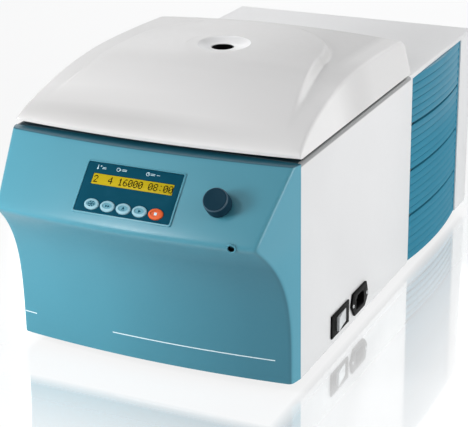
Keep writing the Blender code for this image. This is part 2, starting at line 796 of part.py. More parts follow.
def control_board():
    """The board behind the plate: four posts, the display's back and one switch for each key."""
    wide = PLATE_WIDTH / 2 - PLATE_SEAT - BOARD_BORDER
    tall = PLATE_HEIGHT / 2 - PLATE_SEAT - FIT * 2
    top = PLATE_FLOOR - BOARD_GAP
    board = block("control_board", (-wide, -tall, top - BOARD_THICK), (wide, tall, top),
                  "green_board", PLATE_FRAME)
    tools = []
    over_keys = key_spot(0).y + KEY_HALF_HEIGHT + POST_R * POST_CLEAR_SHARE
    for side in (-1, 1):
        for row, y in enumerate((over_keys, tall - POST_R)):
            spot = Vector((side * (wide - POST_R), y, 0))
            tools.append(drum(f"board_post_{side}_{row}", (POST_R, POST_R),
                              top - BOARD_THICK / 2, PLATE_FLOOR - FIT, None,
                              PLATE_FRAME @ Matrix.Translation(spot), 12))
    key_top = PLATE_FLOOR - KEY_STEM - KEY_TRAVEL - FIT
    reach = Vector((SWITCH_SIDE / 2, SWITCH_SIDE / 2, 0))
    for i in range(KEY_COUNT):
        spot = key_spot(i)
        spot.y = max(spot.y, reach.y - tall)
        tools.append(block(f"board_switch_{i}", spot - reach + Vector((0, 0, top - BOARD_THICK / 2)),
                           spot + reach + Vector((0, 0, key_top)), None, PLATE_FRAME))
    centre = plate_spot(WINDOW_SHIFT, WINDOW_DOWN)
    half = Vector((WINDOW_WIDTH / 2 - PLATE_SEAT - BOARD_BORDER * 2, WINDOW_HEIGHT / 2, 0))
    tools.append(block("board_display", centre - half + Vector((0, 0, top - BOARD_THICK / 2)),
                       centre + half + Vector((0, 0, top + DISPLAY_BACK)), None, PLATE_FRAME))
    join(board, merged_tools("board_parts", tools))


def knob_and_encoder():
    """The selector knob with its shaft, and the encoder that holds it behind the panel."""
    knob = turned("knob", [
        (0, KNOB_LIFT + KNOB_HEIGHT - KNOB_DISH),
        (KNOB_R - KNOB_RIM * 3, KNOB_LIFT + KNOB_HEIGHT - KNOB_DISH),
        (KNOB_R - KNOB_RIM * 2, KNOB_LIFT + KNOB_HEIGHT),
        (KNOB_R - KNOB_RIM, KNOB_LIFT + KNOB_HEIGHT),
        (KNOB_R - KNOB_RIM / 2, KNOB_LIFT + KNOB_HEIGHT - KNOB_RIM),
        (KNOB_R, KNOB_LIFT + KNOB_SKIRT),
        (KNOB_R, KNOB_LIFT),
        (KNOB_SHAFT_R, KNOB_LIFT),
        (KNOB_SHAFT_R, KNOB_LIFT - KNOB_SHAFT_DEPTH),
        (0, KNOB_LIFT - KNOB_SHAFT_DEPTH),
    ], "slate_knob", KNOB_FRAME, 20)
    back = -PANEL_WALL * 2
    encoder = block("encoder", (-ENCODER_SIDE / 2, -ENCODER_SIDE / 2, back - ENCODER_DEPTH),
                    (ENCODER_SIDE / 2, ENCODER_SIDE / 2, back), "zinc_sheet", KNOB_FRAME)
    bush = drum("encoder_bush", (ENCODER_BUSH_R, ENCODER_BUSH_R), back - ENCODER_DEPTH / 2,
                KNOB_LIFT - FIT * 2, None, KNOB_FRAME, 20)
    bore = drum("encoder_bore", (KNOB_SHAFT_R + FIT, KNOB_SHAFT_R + FIT),
                KNOB_LIFT - KNOB_SHAFT_DEPTH - FIT * 2, OVERRUN, None, KNOB_FRAME, 20)
    cut(join(encoder, bush), bore)
    return knob


def release_port():
    """The bush round the hole that takes the pin for opening the lid without power."""
    turned("release_port_bush", [
        (PORT_FLANGE_R - PORT_SINK / 2, PORT_FLANGE - PORT_SINK),
        (PORT_FLANGE_R, PORT_FLANGE / 2 - PORT_SINK),
        (PORT_FLANGE_R, -PORT_SINK),
        (PORT_TUBE_R, -PORT_SINK),
        (PORT_TUBE_R, -PORT_LENGTH),
        (PORT_R, -PORT_LENGTH),
        (PORT_R, PORT_FLANGE / 2 - PORT_SINK),
        (PORT_R + PORT_SINK / 2, PORT_FLANGE - PORT_SINK),
    ], "grey_plastic", PORT_FRAME, 14, ring=True)


GRILLE_TOP_Z = DECK_Z - GRILLE_TOP_STRIP
GRILLE_FACE_X = HALF - GRILLE_SET
GRILLE_BACK_X = GRILLE_FACE_X - GRILLE_THICK
SWITCH_Y = SPLIT_Y + SWITCH_SETBACK
SWITCH_Z = FOOT_HEIGHT + SWITCH_RISE
INLET_Y = SPLIT_Y + INLET_SETBACK
STRIKER_Y = SPLIT_Y + STRIKER_SETBACK
CHAMBER_HOLE_R = BOWL_R + BOWL_WALL / 2 + BOWL_CLEAR


def base_pan():
    """A folded tray that everything inside stands on, notched beside the grilles."""
    half = INNER_X - FIT
    front = SPLIT_Y + FIT
    rear = REAR_Y - REAR_SHEET - FIT
    pan = block("base_pan", (-half, front, FOOT_HEIGHT), (half, rear, FOOT_HEIGHT + PAN_FLANGE),
                "zinc_sheet")
    hollow = block("pan_hollow", (PAN_SHEET - half, front + PAN_SHEET, PAN_Z),
                   (half - PAN_SHEET, rear - PAN_SHEET, FOOT_HEIGHT + PAN_FLANGE + OVERRUN))
    cut(pan, hollow)
    for side in (-1, 1):
        near = side * (GRILLE_BACK_X - FIT)
        far = side * (half + OVERRUN)
        name = "pan_notch_right" if side > 0 else "pan_notch_left"
        cut(pan, block(name, (min(near, far), GRILLE_FRONT_Y - FIT, FOOT_HEIGHT - OVERRUN),
                       (max(near, far), GRILLE_REAR_Y + FIT, FOOT_HEIGHT + PAN_FLANGE + OVERRUN)))
    cut(pan, block("pan_power_notch",
                   (HALF - INLET_DEPTH - FIT, SWITCH_Y - SWITCH_LENGTH / 2, PAN_Z + FIT),
                   (half + OVERRUN, INLET_Y + INLET_LENGTH / 2, FOOT_HEIGHT + PAN_FLANGE + OVERRUN)))


def feet():
    """Four turned rubber feet under the pan."""
    places = {"front": SPLIT_Y + FOOT_FRONT_INSET, "rear": REAR_Y - FOOT_REAR_INSET}
    top = FOOT_HEIGHT - FIT
    for row, y in places.items():
        for side, name in ((-1, "left"), (1, "right")):
            turned(f"foot_{row}_{name}", [
                (0, top), (FOOT_TOP_R, top), (FOOT_WAIST_R, FOOT_WAIST_HEIGHT),
                (FOOT_BASE_R, FOOT_LIP), (FOOT_BASE_R - FOOT_LIP / 2, 0), (0, 0),
            ], "black_rubber", Matrix.Translation((side * (HALF - FOOT_SIDE_INSET), y, 0)), 14)


def housing():
    """White casing: two sides, the deck and the rear hood in one shell open below and behind."""
    shell = block("housing", (-HALF, SPLIT_Y, FOOT_HEIGHT), (HALF, REAR_Y, DECK_Z), "white_enamel",
                  None, HOUSING_WALL / 2,
                  lambda e, low, high: min(v.co.z for v in e.verts) > (low.z + high.z) / 2
                  and abs(e.verts[0].co.x - e.verts[1].co.x) < HALF)
    cut(shell, block("housing_hollow", (-INNER_X, SPLIT_Y - OVERRUN, FOOT_HEIGHT - OVERRUN),
                     (INNER_X, REAR_Y + OVERRUN, DECK_UNDER_Z)))
    cut(shell, drum("chamber_hole", (CHAMBER_HOLE_R, CHAMBER_HOLE_R), DECK_UNDER_Z - OVERRUN,
                    DECK_Z + OVERRUN, None, Matrix.Translation((0, AXIS_Y, 0)), 32))
    slots = []
    for side in (-1, 1):
        near = side * (INNER_X - OVERRUN)
        far = side * (HALF + OVERRUN)
        name = "grille_hole_right" if side > 0 else "grille_hole_left"
        slots.append(block(name, (min(near, far), GRILLE_FRONT_Y - FIT, FOOT_HEIGHT - OVERRUN),
                           (max(near, far), GRILLE_REAR_Y + FIT, GRILLE_TOP_Z + FIT)))
    slots.append(block("striker_hole",
                       (-LOCK_SLOT_WIDTH / 2, STRIKER_Y - LOCK_SLOT_DEPTH / 2, DECK_UNDER_Z - OVERRUN),
                       (LOCK_SLOT_WIDTH / 2, STRIKER_Y + LOCK_SLOT_DEPTH / 2, DECK_Z + OVERRUN)))
    slots.append(block("switch_hole",
                       (INNER_X - OVERRUN, SWITCH_Y - SWITCH_LENGTH / 2 + SWITCH_PROUD,
                        SWITCH_Z - SWITCH_HEIGHT / 2 + SWITCH_PROUD),
                       (HALF + OVERRUN, SWITCH_Y + SWITCH_LENGTH / 2 - SWITCH_PROUD,
                        SWITCH_Z + SWITCH_HEIGHT / 2 - SWITCH_PROUD)))
    slots.append(block("inlet_hole",
                       (INNER_X - OVERRUN, INLET_Y - INLET_BODY_LENGTH / 2 - FIT,
                        SWITCH_Z - INLET_BODY_HEIGHT / 2 - FIT),
                       (HALF + OVERRUN, INLET_Y + INLET_BODY_LENGTH / 2 + FIT,
                        SWITCH_Z + INLET_BODY_HEIGHT / 2 + FIT)))
    cut(shell, merged_tools("housing_slots", slots))


def rear_panel():
    """Sheet that closes the case behind, with a field of upright slots."""
    y = REAR_Y - REAR_SHEET
    panel = block("rear_panel", (FIT - INNER_X, y, FOOT_HEIGHT),
                  (INNER_X - FIT, REAR_Y, DECK_UNDER_Z - FIT), "white_enamel")
    slots = []
    for i in range(REAR_SLOT_COUNT):
        x = (i - (REAR_SLOT_COUNT - 1) / 2) * REAR_SLOT_PITCH
        slots.append(block(f"rear_slot_{i}",
                           (x - REAR_SLOT_WIDTH / 2, y - OVERRUN,
                            FOOT_HEIGHT + REAR_SLOT_RISE - REAR_SLOT_LENGTH / 2),
                           (x + REAR_SLOT_WIDTH / 2, REAR_Y + OVERRUN,
                            FOOT_HEIGHT + REAR_SLOT_RISE + REAR_SLOT_LENGTH / 2)))
    cut(panel, merged_tools("rear_slots", slots))


def grille(name, side):
    """A louvred panel that bows out of the side wall: flat slats with air slots between."""
    length = GRILLE_LENGTH
    outline = []
    for i in range(GRILLE_SEGMENTS + 1):
        share = 2 * i / GRILLE_SEGMENTS - 1
        outline.append((GRILLE_FACE_X + GRILLE_BOW * (1 - share ** 2), share * length / 2))
    outline += [(x - GRILLE_THICK, y) for x, y in reversed(outline)]
    outline = [(side * x, y) for x, y in outline]
    height = GRILLE_TOP_Z - FOOT_HEIGHT
    middle_y = (GRILLE_FRONT_Y + GRILLE_REAR_Y) / 2
    panel = flat_shape(name, outline, height, "teal_moulding",
                       Matrix.Translation((0, middle_y, FOOT_HEIGHT + height / 2)))
    slots = []
    pitch = height / GRILLE_SLATS
    for i in range(1, GRILLE_SLATS):
        slot = GRILLE_SLOT if i % GRILLE_SLATS_PER_FIELD else GRILLE_WIDE_SLOT
        z = FOOT_HEIGHT + i * pitch
        near = side * (GRILLE_BACK_X - OVERRUN)
        far = side * (GRILLE_FACE_X + GRILLE_BOW + OVERRUN)
        slots.append(block(f"{name}_slot_{i}",
                           (min(near, far), middle_y - length / 2 + GRILLE_STILE, z - slot / 2),
                           (max(near, far), middle_y + length / 2 - GRILLE_STILE, z + slot / 2)))
    cut(panel, merged_tools(name + "_slots", slots))


def chamber():
    """Steel bowl hung in the deck by its flange, the gasket round it and the foam outside."""
    stand = Matrix.Translation((0, AXIS_Y, 0))
    flange_z = DECK_Z + FIT + BOWL_WALL / 2
    profile = [(BOWL_R + BOWL_FLANGE, flange_z), (BOWL_R, flange_z)]
    for i in range(BOWL_FILLET_STEPS + 1):
        angle = math.pi / 2 * i / BOWL_FILLET_STEPS
        profile.append((BOWL_R - BOWL_FILLET + BOWL_FILLET * math.cos(angle),
                        BOWL_FLOOR_Z + BOWL_FILLET - BOWL_FILLET * math.sin(angle)))
    profile += [(BOWL_CONE_R, BOWL_FLOOR_Z), (BOWL_NECK_R, BOWL_FLOOR_Z + BOWL_NECK_RISE)]
    turned("chamber_bowl", profile, "polished_steel", stand, 24, sheet=BOWL_WALL)
    inner = BOWL_R + BOWL_FLANGE + GASKET_GAP
    low = DECK_Z + FIT
    high = LID_PANEL_Z - FIT
    turned("chamber_gasket", [
        (inner + GASKET_WIDTH - GASKET_TAPER, high), (inner + GASKET_WIDTH, low), (inner, low),
        (inner + GASKET_TAPER, high),
    ], "black_rubber", stand, 28, ring=True)
    skin = BOWL_R + BOWL_WALL / 2 + FIT * 2
    under = BOWL_FLOOR_Z - BOWL_WALL / 2 - FIT * 2
    top = DECK_UNDER_Z - FIT
    turned("insulation", [
        (FOAM_R, top), (FOAM_R, under - FOAM_FLOOR), (FOAM_NECK_R, under - FOAM_FLOOR),
        (FOAM_NECK_R, under), (skin, under), (skin, top),
    ], "foam", stand, 24, ring=True)


def motor_group():
    """Drive motor on its plate, standing on three rubber dampers."""
    stand = Matrix.Translation((0, AXIS_Y, 0))
    profile = [(SHAFT_R + SHAFT_RUN, MOTOR_TOP_Z), (MOTOR_R - MOTOR_RIB, MOTOR_TOP_Z)]
    step = MOTOR_HEIGHT / (MOTOR_RIB_COUNT + 1)
    for i in range(MOTOR_RIB_COUNT):
        z = MOTOR_TOP_Z - step * (i + 1) + step / 2
        profile += [(MOTOR_R - MOTOR_RIB, z), (MOTOR_R, z), (MOTOR_R, z - step / 2),
                    (MOTOR_R - MOTOR_RIB, z - step / 2)]
    floor = MOTOR_BASE_Z + MOTOR_BORE_FLOOR
    profile += [(MOTOR_R - MOTOR_RIB, MOTOR_BASE_Z), (0, MOTOR_BASE_Z)]
    motor = turned("motor", [(0, floor), (SHAFT_R + SHAFT_RUN, floor)] + profile,
                   "dark_enamel", stand, 20)
    plate_top = MOTOR_BASE_Z - FIT
    turned("motor_plate", [
        (0, plate_top), (MOTOR_PLATE_R, plate_top),
        (MOTOR_PLATE_R, plate_top - MOTOR_PLATE_THICK), (0, plate_top - MOTOR_PLATE_THICK),
    ], "zinc_sheet", stand, 20)
    top = plate_top - MOTOR_PLATE_THICK - FIT
    low = PAN_Z + FIT
    for i in range(DAMPER_COUNT):
        angle = 2 * math.pi * i / DAMPER_COUNT + math.pi / 2
        spot = Matrix.Translation((DAMPER_CIRCLE_R * math.cos(angle),
                                   AXIS_Y + DAMPER_CIRCLE_R * math.sin(angle), 0))
        turned(f"damper_{i + 1}", [
            (0, top), (DAMPER_R, top), (DAMPER_R + DAMPER_BELLY, (top + low) / 2),
            (DAMPER_R, low), (0, low),
        ], "black_rubber", spot, 16)
    return motor


def rotor_group():
    """Shaft, angle rotor with its wells, cover and nut: everything that spins together."""
    stand = Matrix.Translation((0, AXIS_Y, 0))
    hub_z = ROTOR_TOP_Z - ROTOR_HUB_DROP
    bore_top = hub_z - NUT_STEM_DEPTH - SHAFT_TIP_R
    shaft_top = bore_top - FIT
    shaft_low = MOTOR_BASE_Z + MOTOR_BORE_FLOOR + FIT * 2
    shaft = turned("motor_shaft", [
        (0, shaft_top), (SHAFT_TIP_R, shaft_top), (SHAFT_R, shaft_top - SHAFT_TIP),
        (SHAFT_R, shaft_low), (0, shaft_low),
    ], "polished_steel", stand, 16)
    face = math.tan(WELL_ANGLE)
    rim_in = ROTOR_RIM_R - ROTOR_RIM
    face_low_z = ROTOR_TOP_Z - (rim_in - ROTOR_HUB_R * 1.6) * face
    rotor = turned("rotor", [
        (0, hub_z), (ROTOR_HUB_R, hub_z), (ROTOR_HUB_R * 1.2, face_low_z),
        (ROTOR_HUB_R * 1.6, face_low_z), (rim_in, ROTOR_TOP_Z), (ROTOR_RIM_R, ROTOR_TOP_Z),
        (ROTOR_R, ROTOR_TOP_Z - ROTOR_RIM), (ROTOR_R, ROTOR_BASE_Z + ROTOR_WALL / 2),
        (ROTOR_BELLY_R, ROTOR_BASE_Z + ROTOR_BELLY), (ROTOR_FOOT_R * 1.5, ROTOR_BASE_Z + ROTOR_BELLY),
        (ROTOR_FOOT_R, ROTOR_BASE_Z), (0, ROTOR_BASE_Z),
    ], "rotor_aluminium", stand, 30)
    bore = drum("rotor_bore", (SHAFT_R + FIT, SHAFT_R + FIT), ROTOR_BASE_Z - OVERRUN, bore_top,
                None, stand, 24)
    thread = drum("rotor_thread", (NUT_STEM_R + FIT, NUT_STEM_R + FIT), hub_z - NUT_STEM_DEPTH,
                  hub_z + OVERRUN, None, stand, 16)
    well_z = ROTOR_TOP_Z - (rim_in - WELL_CIRCLE_R) * face
    wells = []
    for i in range(WELL_COUNT):
        turn = Matrix.Rotation(2 * math.pi * i / WELL_COUNT, 4, "Z")
        place = stand @ turn @ Matrix.Translation((WELL_CIRCLE_R, 0, well_z))
        place = place @ Matrix.Rotation(-WELL_ANGLE, 4, "Y")
        wells.append(drum(f"well_{i}", (WELL_R, WELL_R), -WELL_DEPTH, OVERRUN * 2, None, place,
                          WELL_SIDES))
    bpy.context.view_layer.update()
    cut(rotor, bore, thread, merged_tools("rotor_wells", wells))
    low = ROTOR_TOP_Z + FIT
    crown = low + COVER_CROWN
    cover = turned("rotor_cover", [
        (NUT_STEM_R + FIT, crown + COVER_SHEET), (ROTOR_HUB_R, crown + COVER_SHEET),
        (ROTOR_RIM_R - COVER_SHEET, low + COVER_SHEET), (ROTOR_RIM_R, low + COVER_SHEET / 2),
        (ROTOR_RIM_R, low), (rim_in, low), (ROTOR_HUB_R, crown), (NUT_STEM_R + FIT, crown),
    ], "rotor_aluminium", stand, 30, ring=True)
    base = crown + COVER_SHEET + FIT
    nut = turned("rotor_cover_nut", [
        (0, base + NUT_HEIGHT), (NUT_R - NUT_WAIST, base + NUT_HEIGHT),
        (NUT_R, base + NUT_HEIGHT - NUT_WAIST), (NUT_R, base + NUT_WAIST),
        (NUT_R - NUT_WAIST, base), (NUT_STEM_R, base),
        (NUT_STEM_R, hub_z - NUT_STEM_DEPTH + FIT), (0, hub_z - NUT_STEM_DEPTH + FIT),
    ], "slate_knob", stand, 16)
    carry("rotor_axis", (0, AXIS_Y, ROTOR_BASE_Z), (shaft, rotor, cover, nut))


def shoulder(y):
    """Height of the lid's shoulder above its seam: an arch from the front lip to the crest."""
    if y < LID_CREST_Y:
        u = min((LID_CREST_Y - y) / LID_CREST_RUN, 1)
        return LID_LIP + (LID_SHOULDER - LID_LIP) * (1 - u * u) ** LID_ARCH_SHARE
    back = (y - LID_CREST_Y) / (LID_REAR_Y - LID_CREST_Y)
    return LID_SHOULDER - LID_REAR_FALL * back ** 2


def raised_field(x, y):
    """Extra height of the round field over the chamber, which opens and fades to the front."""
    ahead = max(AXIS_Y - y, 0)
    behind = max(y - AXIS_Y, 0)
    reach = math.hypot(x, behind) - FIELD_FLARE_SHARE * ahead
    inside = min(max((FIELD_R - reach) / FIELD_EDGE, 0), 1)
    fade = 1 - min(max((ahead - FIELD_FADE_START) / FIELD_FADE_RUN, 0), 1)
    smooth = inside * inside * (3 - 2 * inside)
    return FIELD_RISE * smooth * fade * fade * (3 - 2 * fade)


def lid_top(x, y):
    """Height of the lid's top surface."""
    rise = shoulder(y)
    across = 1 - min(abs(x) / HALF, 1) ** 2
    return SEAM_Z + rise + LID_CROWN * across * rise / LID_SHOULDER + raised_field(x, y)


def lid_row(y, drop=0):
    """One row of the lid across the machine, from seam to seam."""
    half = HALF - LID_LEAN * shoulder(y) / LID_SHOULDER
    depth = (y - LID_FRONT_Y) / LID_DEPTH
    row = [Vector((-HALF, y, SEAM_Z))]
    for share in LID_X_SHARES:
        x = half * share
        bowed = y - BOW * (1 - share ** 2) * (1 - depth) ** 2
        row.append(Vector((x, bowed, max(lid_top(x, y) - drop, SEAM_Z))))
    row.append(Vector((HALF, y, SEAM_Z)))
    return row


def lid_outer():
    """The white cover: a sheet of rows from the front lip over the arch to the rear wall."""
    crest = LID_REAR_Y - LID_REAR_ROUND
    ys = [LID_FRONT_Y + (crest - LID_FRONT_Y) * share for share in LID_Y_SHARES]
    lip = lid_row(ys[0])
    rows = [[Vector((p.x, p.y, SEAM_Z)) for p in lip]]
    rows += [lid_row(y) for y in ys]
    for i in range(1, LID_REAR_STEPS + 1):
        angle = math.pi / 2 * i / LID_REAR_STEPS
        y = crest + LID_REAR_ROUND * math.sin(angle)
        rows.append(lid_row(y, LID_REAR_ROUND * (1 - math.cos(angle))))
    rows.append([Vector((p.x, p.y, SEAM_Z)) for p in rows[-1]])
    bm = bmesh.new()
    grid = [[bm.verts.new(point) for point in row] for row in rows]
    for near, far in zip(grid, grid[1:]):
        for i in range(len(near) - 1):
            bm.faces.new((near[i], near[i + 1], far[i + 1], far[i]))
    lid = put("lid_outer", mesh_from("lid_outer", bm), "white_enamel")
    skin = lid.modifiers.new("skin", "SOLIDIFY")
    skin.thickness = LID_SKIN
    skin.offset = -1
    skin.use_even_offset = True
    stand = Matrix.Translation((0, AXIS_Y, 0))
    top = CASE_HEIGHT
    well = top - HUB_DISH
    clear = drum("lid_hub_hole", (HUB_R - HUB_RIM / 2, HUB_R - HUB_RIM / 2), SEAM_Z, top + OVERRUN,
                 None, stand, 22)
    dish = turned("lid_hub_dish", [
        (HUB_R - HUB_RIM * 0.6, top), (HUB_R, top - HUB_RIM * 0.3),
        (HUB_R, top - HUB_RIM * 1.6), (SIGHT_R + FIT, well - HUB_RIM),
        (SIGHT_R + FIT, well), (HUB_R * 0.62, well + HUB_RIM * 0.4), (HUB_R - HUB_RIM, top - HUB_RIM),
    ], None, stand, 22, ring=True)
    join(cut(lid, clear), dish)
    return lid


def lid_inside():
    """The flat inner panel, the sight glass that joins it to the hub, and the striker."""
    half = HALF - LID_PANEL_CLEAR
    front = LID_FRONT_Y + LID_PANEL_FRONT
    rear = LID_REAR_Y - LID_PANEL_REAR
    panel = block("lid_inner_panel", (-half, front, LID_PANEL_Z),
                  (half, rear, LID_PANEL_Z + LID_PANEL_SHEET), "grey_plastic")
    stand = Matrix.Translation((0, AXIS_Y, 0))
    cut(panel, drum("panel_sight_hole", (SIGHT_R + FIT, SIGHT_R + FIT), LID_PANEL_Z - OVERRUN,
                    LID_PANEL_Z + LID_PANEL_SHEET + OVERRUN, None, stand, 24))
    seat = LID_PANEL_Z + LID_PANEL_SHEET + FIT
    glass = turned("sight_glass", [
        (0, CASE_HEIGHT - HUB_DISH - HUB_RIM / 2), (SIGHT_R, CASE_HEIGHT - HUB_DISH - HUB_RIM / 2),
        (SIGHT_R, seat + SIGHT_FLANGE), (SIGHT_FLANGE_R, seat + SIGHT_FLANGE),
        (SIGHT_FLANGE_R, seat), (SIGHT_R, seat), (SIGHT_R, LID_PANEL_Z), (0, LID_PANEL_Z),
    ], "smoked_glass", stand, 14)
    top = LID_PANEL_Z - FIT
    striker = block("lid_striker",
                    (-LOCK_SLOT_WIDTH / 2 - STRIKER_FLANGE, STRIKER_Y - STRIKER_FLANGE_DEPTH / 2,
                     top - STRIKER_FLANGE),
                    (LOCK_SLOT_WIDTH / 2 + STRIKER_FLANGE, STRIKER_Y + STRIKER_FLANGE_DEPTH / 2, top),
                    "polished_steel")
    tongue = block("striker_tongue",
                   (-STRIKER_WIDTH / 2, STRIKER_Y - STRIKER_THICK / 2, top - STRIKER_DROP),
                   (STRIKER_WIDTH / 2, STRIKER_Y + STRIKER_THICK / 2, top - STRIKER_FLANGE / 2))
    eye_low = top - STRIKER_DROP + STRIKER_EYE_RISE
    eye = block("striker_eye",
                (-STRIKER_EYE_WIDTH / 2, STRIKER_Y - STRIKER_THICK, eye_low),
                (STRIKER_EYE_WIDTH / 2, STRIKER_Y + STRIKER_THICK, eye_low + STRIKER_EYE_HEIGHT))
    cut(join(striker, tongue), eye)
    return panel, glass, striker


def lock_unit():
    """The lock under the deck: a slot for the striker and a channel for its bolt."""
    high = DECK_UNDER_Z - FIT
    low = high - LOCK_HEIGHT
    front = STRIKER_Y - LOCK_DEPTH / 2 - LOCK_FORWARD
    rear = front + LOCK_DEPTH
    unit = block("lock_unit", (-LOCK_WIDTH / 2, front, low), (LOCK_WIDTH / 2, rear, high),
                 "black_plastic")
    slot = block("lock_slot", (-LOCK_SLOT_WIDTH / 2, STRIKER_Y - LOCK_SLOT_DEPTH / 2, low - OVERRUN),
                 (LOCK_SLOT_WIDTH / 2, STRIKER_Y + LOCK_SLOT_DEPTH / 2, high + OVERRUN))
    bolt_z = LID_PANEL_Z - FIT - STRIKER_DROP + STRIKER_EYE_RISE + STRIKER_EYE_HEIGHT / 2
    wide = BOLT_WIDTH / 2 + FIT
    tall = BOLT_HEIGHT / 2 + FIT
    channel = block("lock_channel", (-wide, STRIKER_Y, bolt_z - tall),
                    (wide, rear + OVERRUN, bolt_z + tall))
    cut(unit, slot, channel)
    bolt_front = STRIKER_Y + STRIKER_THICK / 2 + BOLT_CLEAR
    bolt = block("lock_bolt", (-BOLT_WIDTH / 2, bolt_front, bolt_z - BOLT_HEIGHT / 2),
                 (BOLT_WIDTH / 2, bolt_front + BOLT_LENGTH, bolt_z + BOLT_HEIGHT / 2),
                 "polished_steel")
    carry("bolt_axis", (0, bolt_front, bolt_z), (bolt,))


def hinge(side, name):
    """One butt hinge behind the lid: body leaf, lid leaf and pin."""
    middle = side * HINGE_X
    lie = Matrix.Translation((middle, HINGE_Y, HINGE_Z)) @ Matrix.Rotation(math.pi / 2, 4, "Y")
    leaf_z = DECK_Z + FIT
    body = block(f"hinge_body_{name}", (middle - HINGE_WIDTH / 2, HINGE_Y, leaf_z),
                 (middle + HINGE_WIDTH / 2, HINGE_Y + HINGE_LEAF, leaf_z + HINGE_SHEET), "zinc_sheet")
    barrel = drum(f"hinge_barrel_{name}", (HINGE_BARREL_R, HINGE_BARREL_R), -HINGE_WIDTH / 2,
                  HINGE_WIDTH / 2, None, lie, HINGE_SIDES)
    gap = HINGE_KNUCKLE / 2 + FIT
    mid_gap = block(f"hinge_gap_{name}", (middle - gap, HINGE_Y - HINGE_BARREL_R * 2, DECK_Z - OVERRUN),
                    (middle + gap, HINGE_Y + HINGE_BARREL_R + FIT, HINGE_Z + HINGE_BARREL_R * 2))
    bore = drum(f"hinge_bore_{name}", (HINGE_PIN_R + FIT, HINGE_PIN_R + FIT),
                -HINGE_WIDTH / 2 - OVERRUN, HINGE_WIDTH / 2 + OVERRUN, None, lie, HINGE_SIDES)
    cut(join(body, barrel), mid_gap, bore)
    face = LID_REAR_Y + FIT
    neck_z = HINGE_Z + HINGE_BARREL_R + HINGE_SHEET / 2
    top = neck_z + HINGE_LEAF_RISE - HINGE_BARREL_R
    lid_leaf = block(f"hinge_lid_{name}", (middle - HINGE_WIDTH / 2, face, neck_z),
                     (middle + HINGE_WIDTH / 2, face + HINGE_SHEET, top), "zinc_sheet")
    neck = block(f"hinge_neck_{name}", (middle - HINGE_KNUCKLE / 2, face, HINGE_Z),
                 (middle + HINGE_KNUCKLE / 2, face + HINGE_SHEET, top - HINGE_SHEET))
    knuckle = drum(f"hinge_knuckle_{name}", (HINGE_BARREL_R, HINGE_BARREL_R), -HINGE_KNUCKLE / 2,
                   HINGE_KNUCKLE / 2, None, lie, HINGE_SIDES)
    cut(join(lid_leaf, neck, knuckle), bore)
    pin = drum(f"hinge_pin_{name}", (HINGE_PIN_R, HINGE_PIN_R), -HINGE_WIDTH / 2, HINGE_WIDTH / 2,
               "polished_steel", lie, 16)
    return lid_leaf, pin


def mains_switch():
    """Black bezel in the right wall with a light rocker on a cross pin moulded to it."""
    front = SWITCH_Y - SWITCH_LENGTH / 2
    rear = SWITCH_Y + SWITCH_LENGTH / 2
    low = SWITCH_Z - SWITCH_HEIGHT / 2
    high = SWITCH_Z + SWITCH_HEIGHT / 2
    face = HALF + SWITCH_PROUD
    inset = SWITCH_PROUD + FIT
    frame = block("switch_frame", (HALF + FIT, front, low), (face, rear, high), "black_plastic",
                  None, SWITCH_EDGE)
    body = block("switch_body", (HALF - SWITCH_DEPTH, front + inset, low + inset),
                 (HALF + SWITCH_PROUD / 2, rear - inset, high - inset))
    well_front = front + SWITCH_BORDER_FRONT
    well_rear = rear - SWITCH_BORDER_REAR
    well_low = low + SWITCH_BORDER_LOW
    well_high = high - SWITCH_BORDER_TOP
    depth = ROCKER_AXIS_DEPTH * 2 + ROCKER_CLEAR
    well = block("switch_well", (face - depth, well_front, well_low),
                 (face + OVERRUN, well_rear, well_high))
    axis_x = face - ROCKER_AXIS_DEPTH
    axis_y = (well_front + well_rear) / 2
    lie = Matrix.Translation((axis_x, axis_y, SWITCH_Z)) @ Matrix.Identity(4)
    sockets = drum("rocker_sockets", (ROCKER_PIVOT_R + FIT, ROCKER_PIVOT_R + FIT),
                   well_low - SWITCH_Z - ROCKER_PIVOT_R / 2, well_high - SWITCH_Z + ROCKER_PIVOT_R / 2,
                   None, lie, 16)
    cut(join(frame, body), well, sockets)
    wide = (well_rear - well_front) / 2 - ROCKER_CLEAR
    floor = well_low + FIT * 2 - SWITCH_Z
    roof = well_high - FIT * 2 - SWITCH_Z
    lift = ROCKER_AXIS_DEPTH + ROCKER_PROUD
    outline = [(0, -ROCKER_PIVOT_R), (lift - ROCKER_THICK, -wide), (lift, -wide),
               (lift - ROCKER_PROUD / 2, 0), (lift, wide), (lift - ROCKER_THICK, wide),
               (0, ROCKER_PIVOT_R)]
    tilt = Matrix.Rotation(ROCKER_TILT, 4, "Z")
    middle = Matrix.Translation((axis_x, axis_y, SWITCH_Z + (floor + roof) / 2))
    rocker = flat_shape("rocker", outline, roof - floor, "grey_plastic", middle @ tilt)
    pivot = drum("rocker_pivot", (ROCKER_PIVOT_R, ROCKER_PIVOT_R), floor - ROCKER_PIVOT_R / 2,
                 roof + ROCKER_PIVOT_R / 2, None, lie, 16)
    join(rocker, pivot)
    carry("rocker_axis", (axis_x, axis_y, SWITCH_Z), (rocker,))


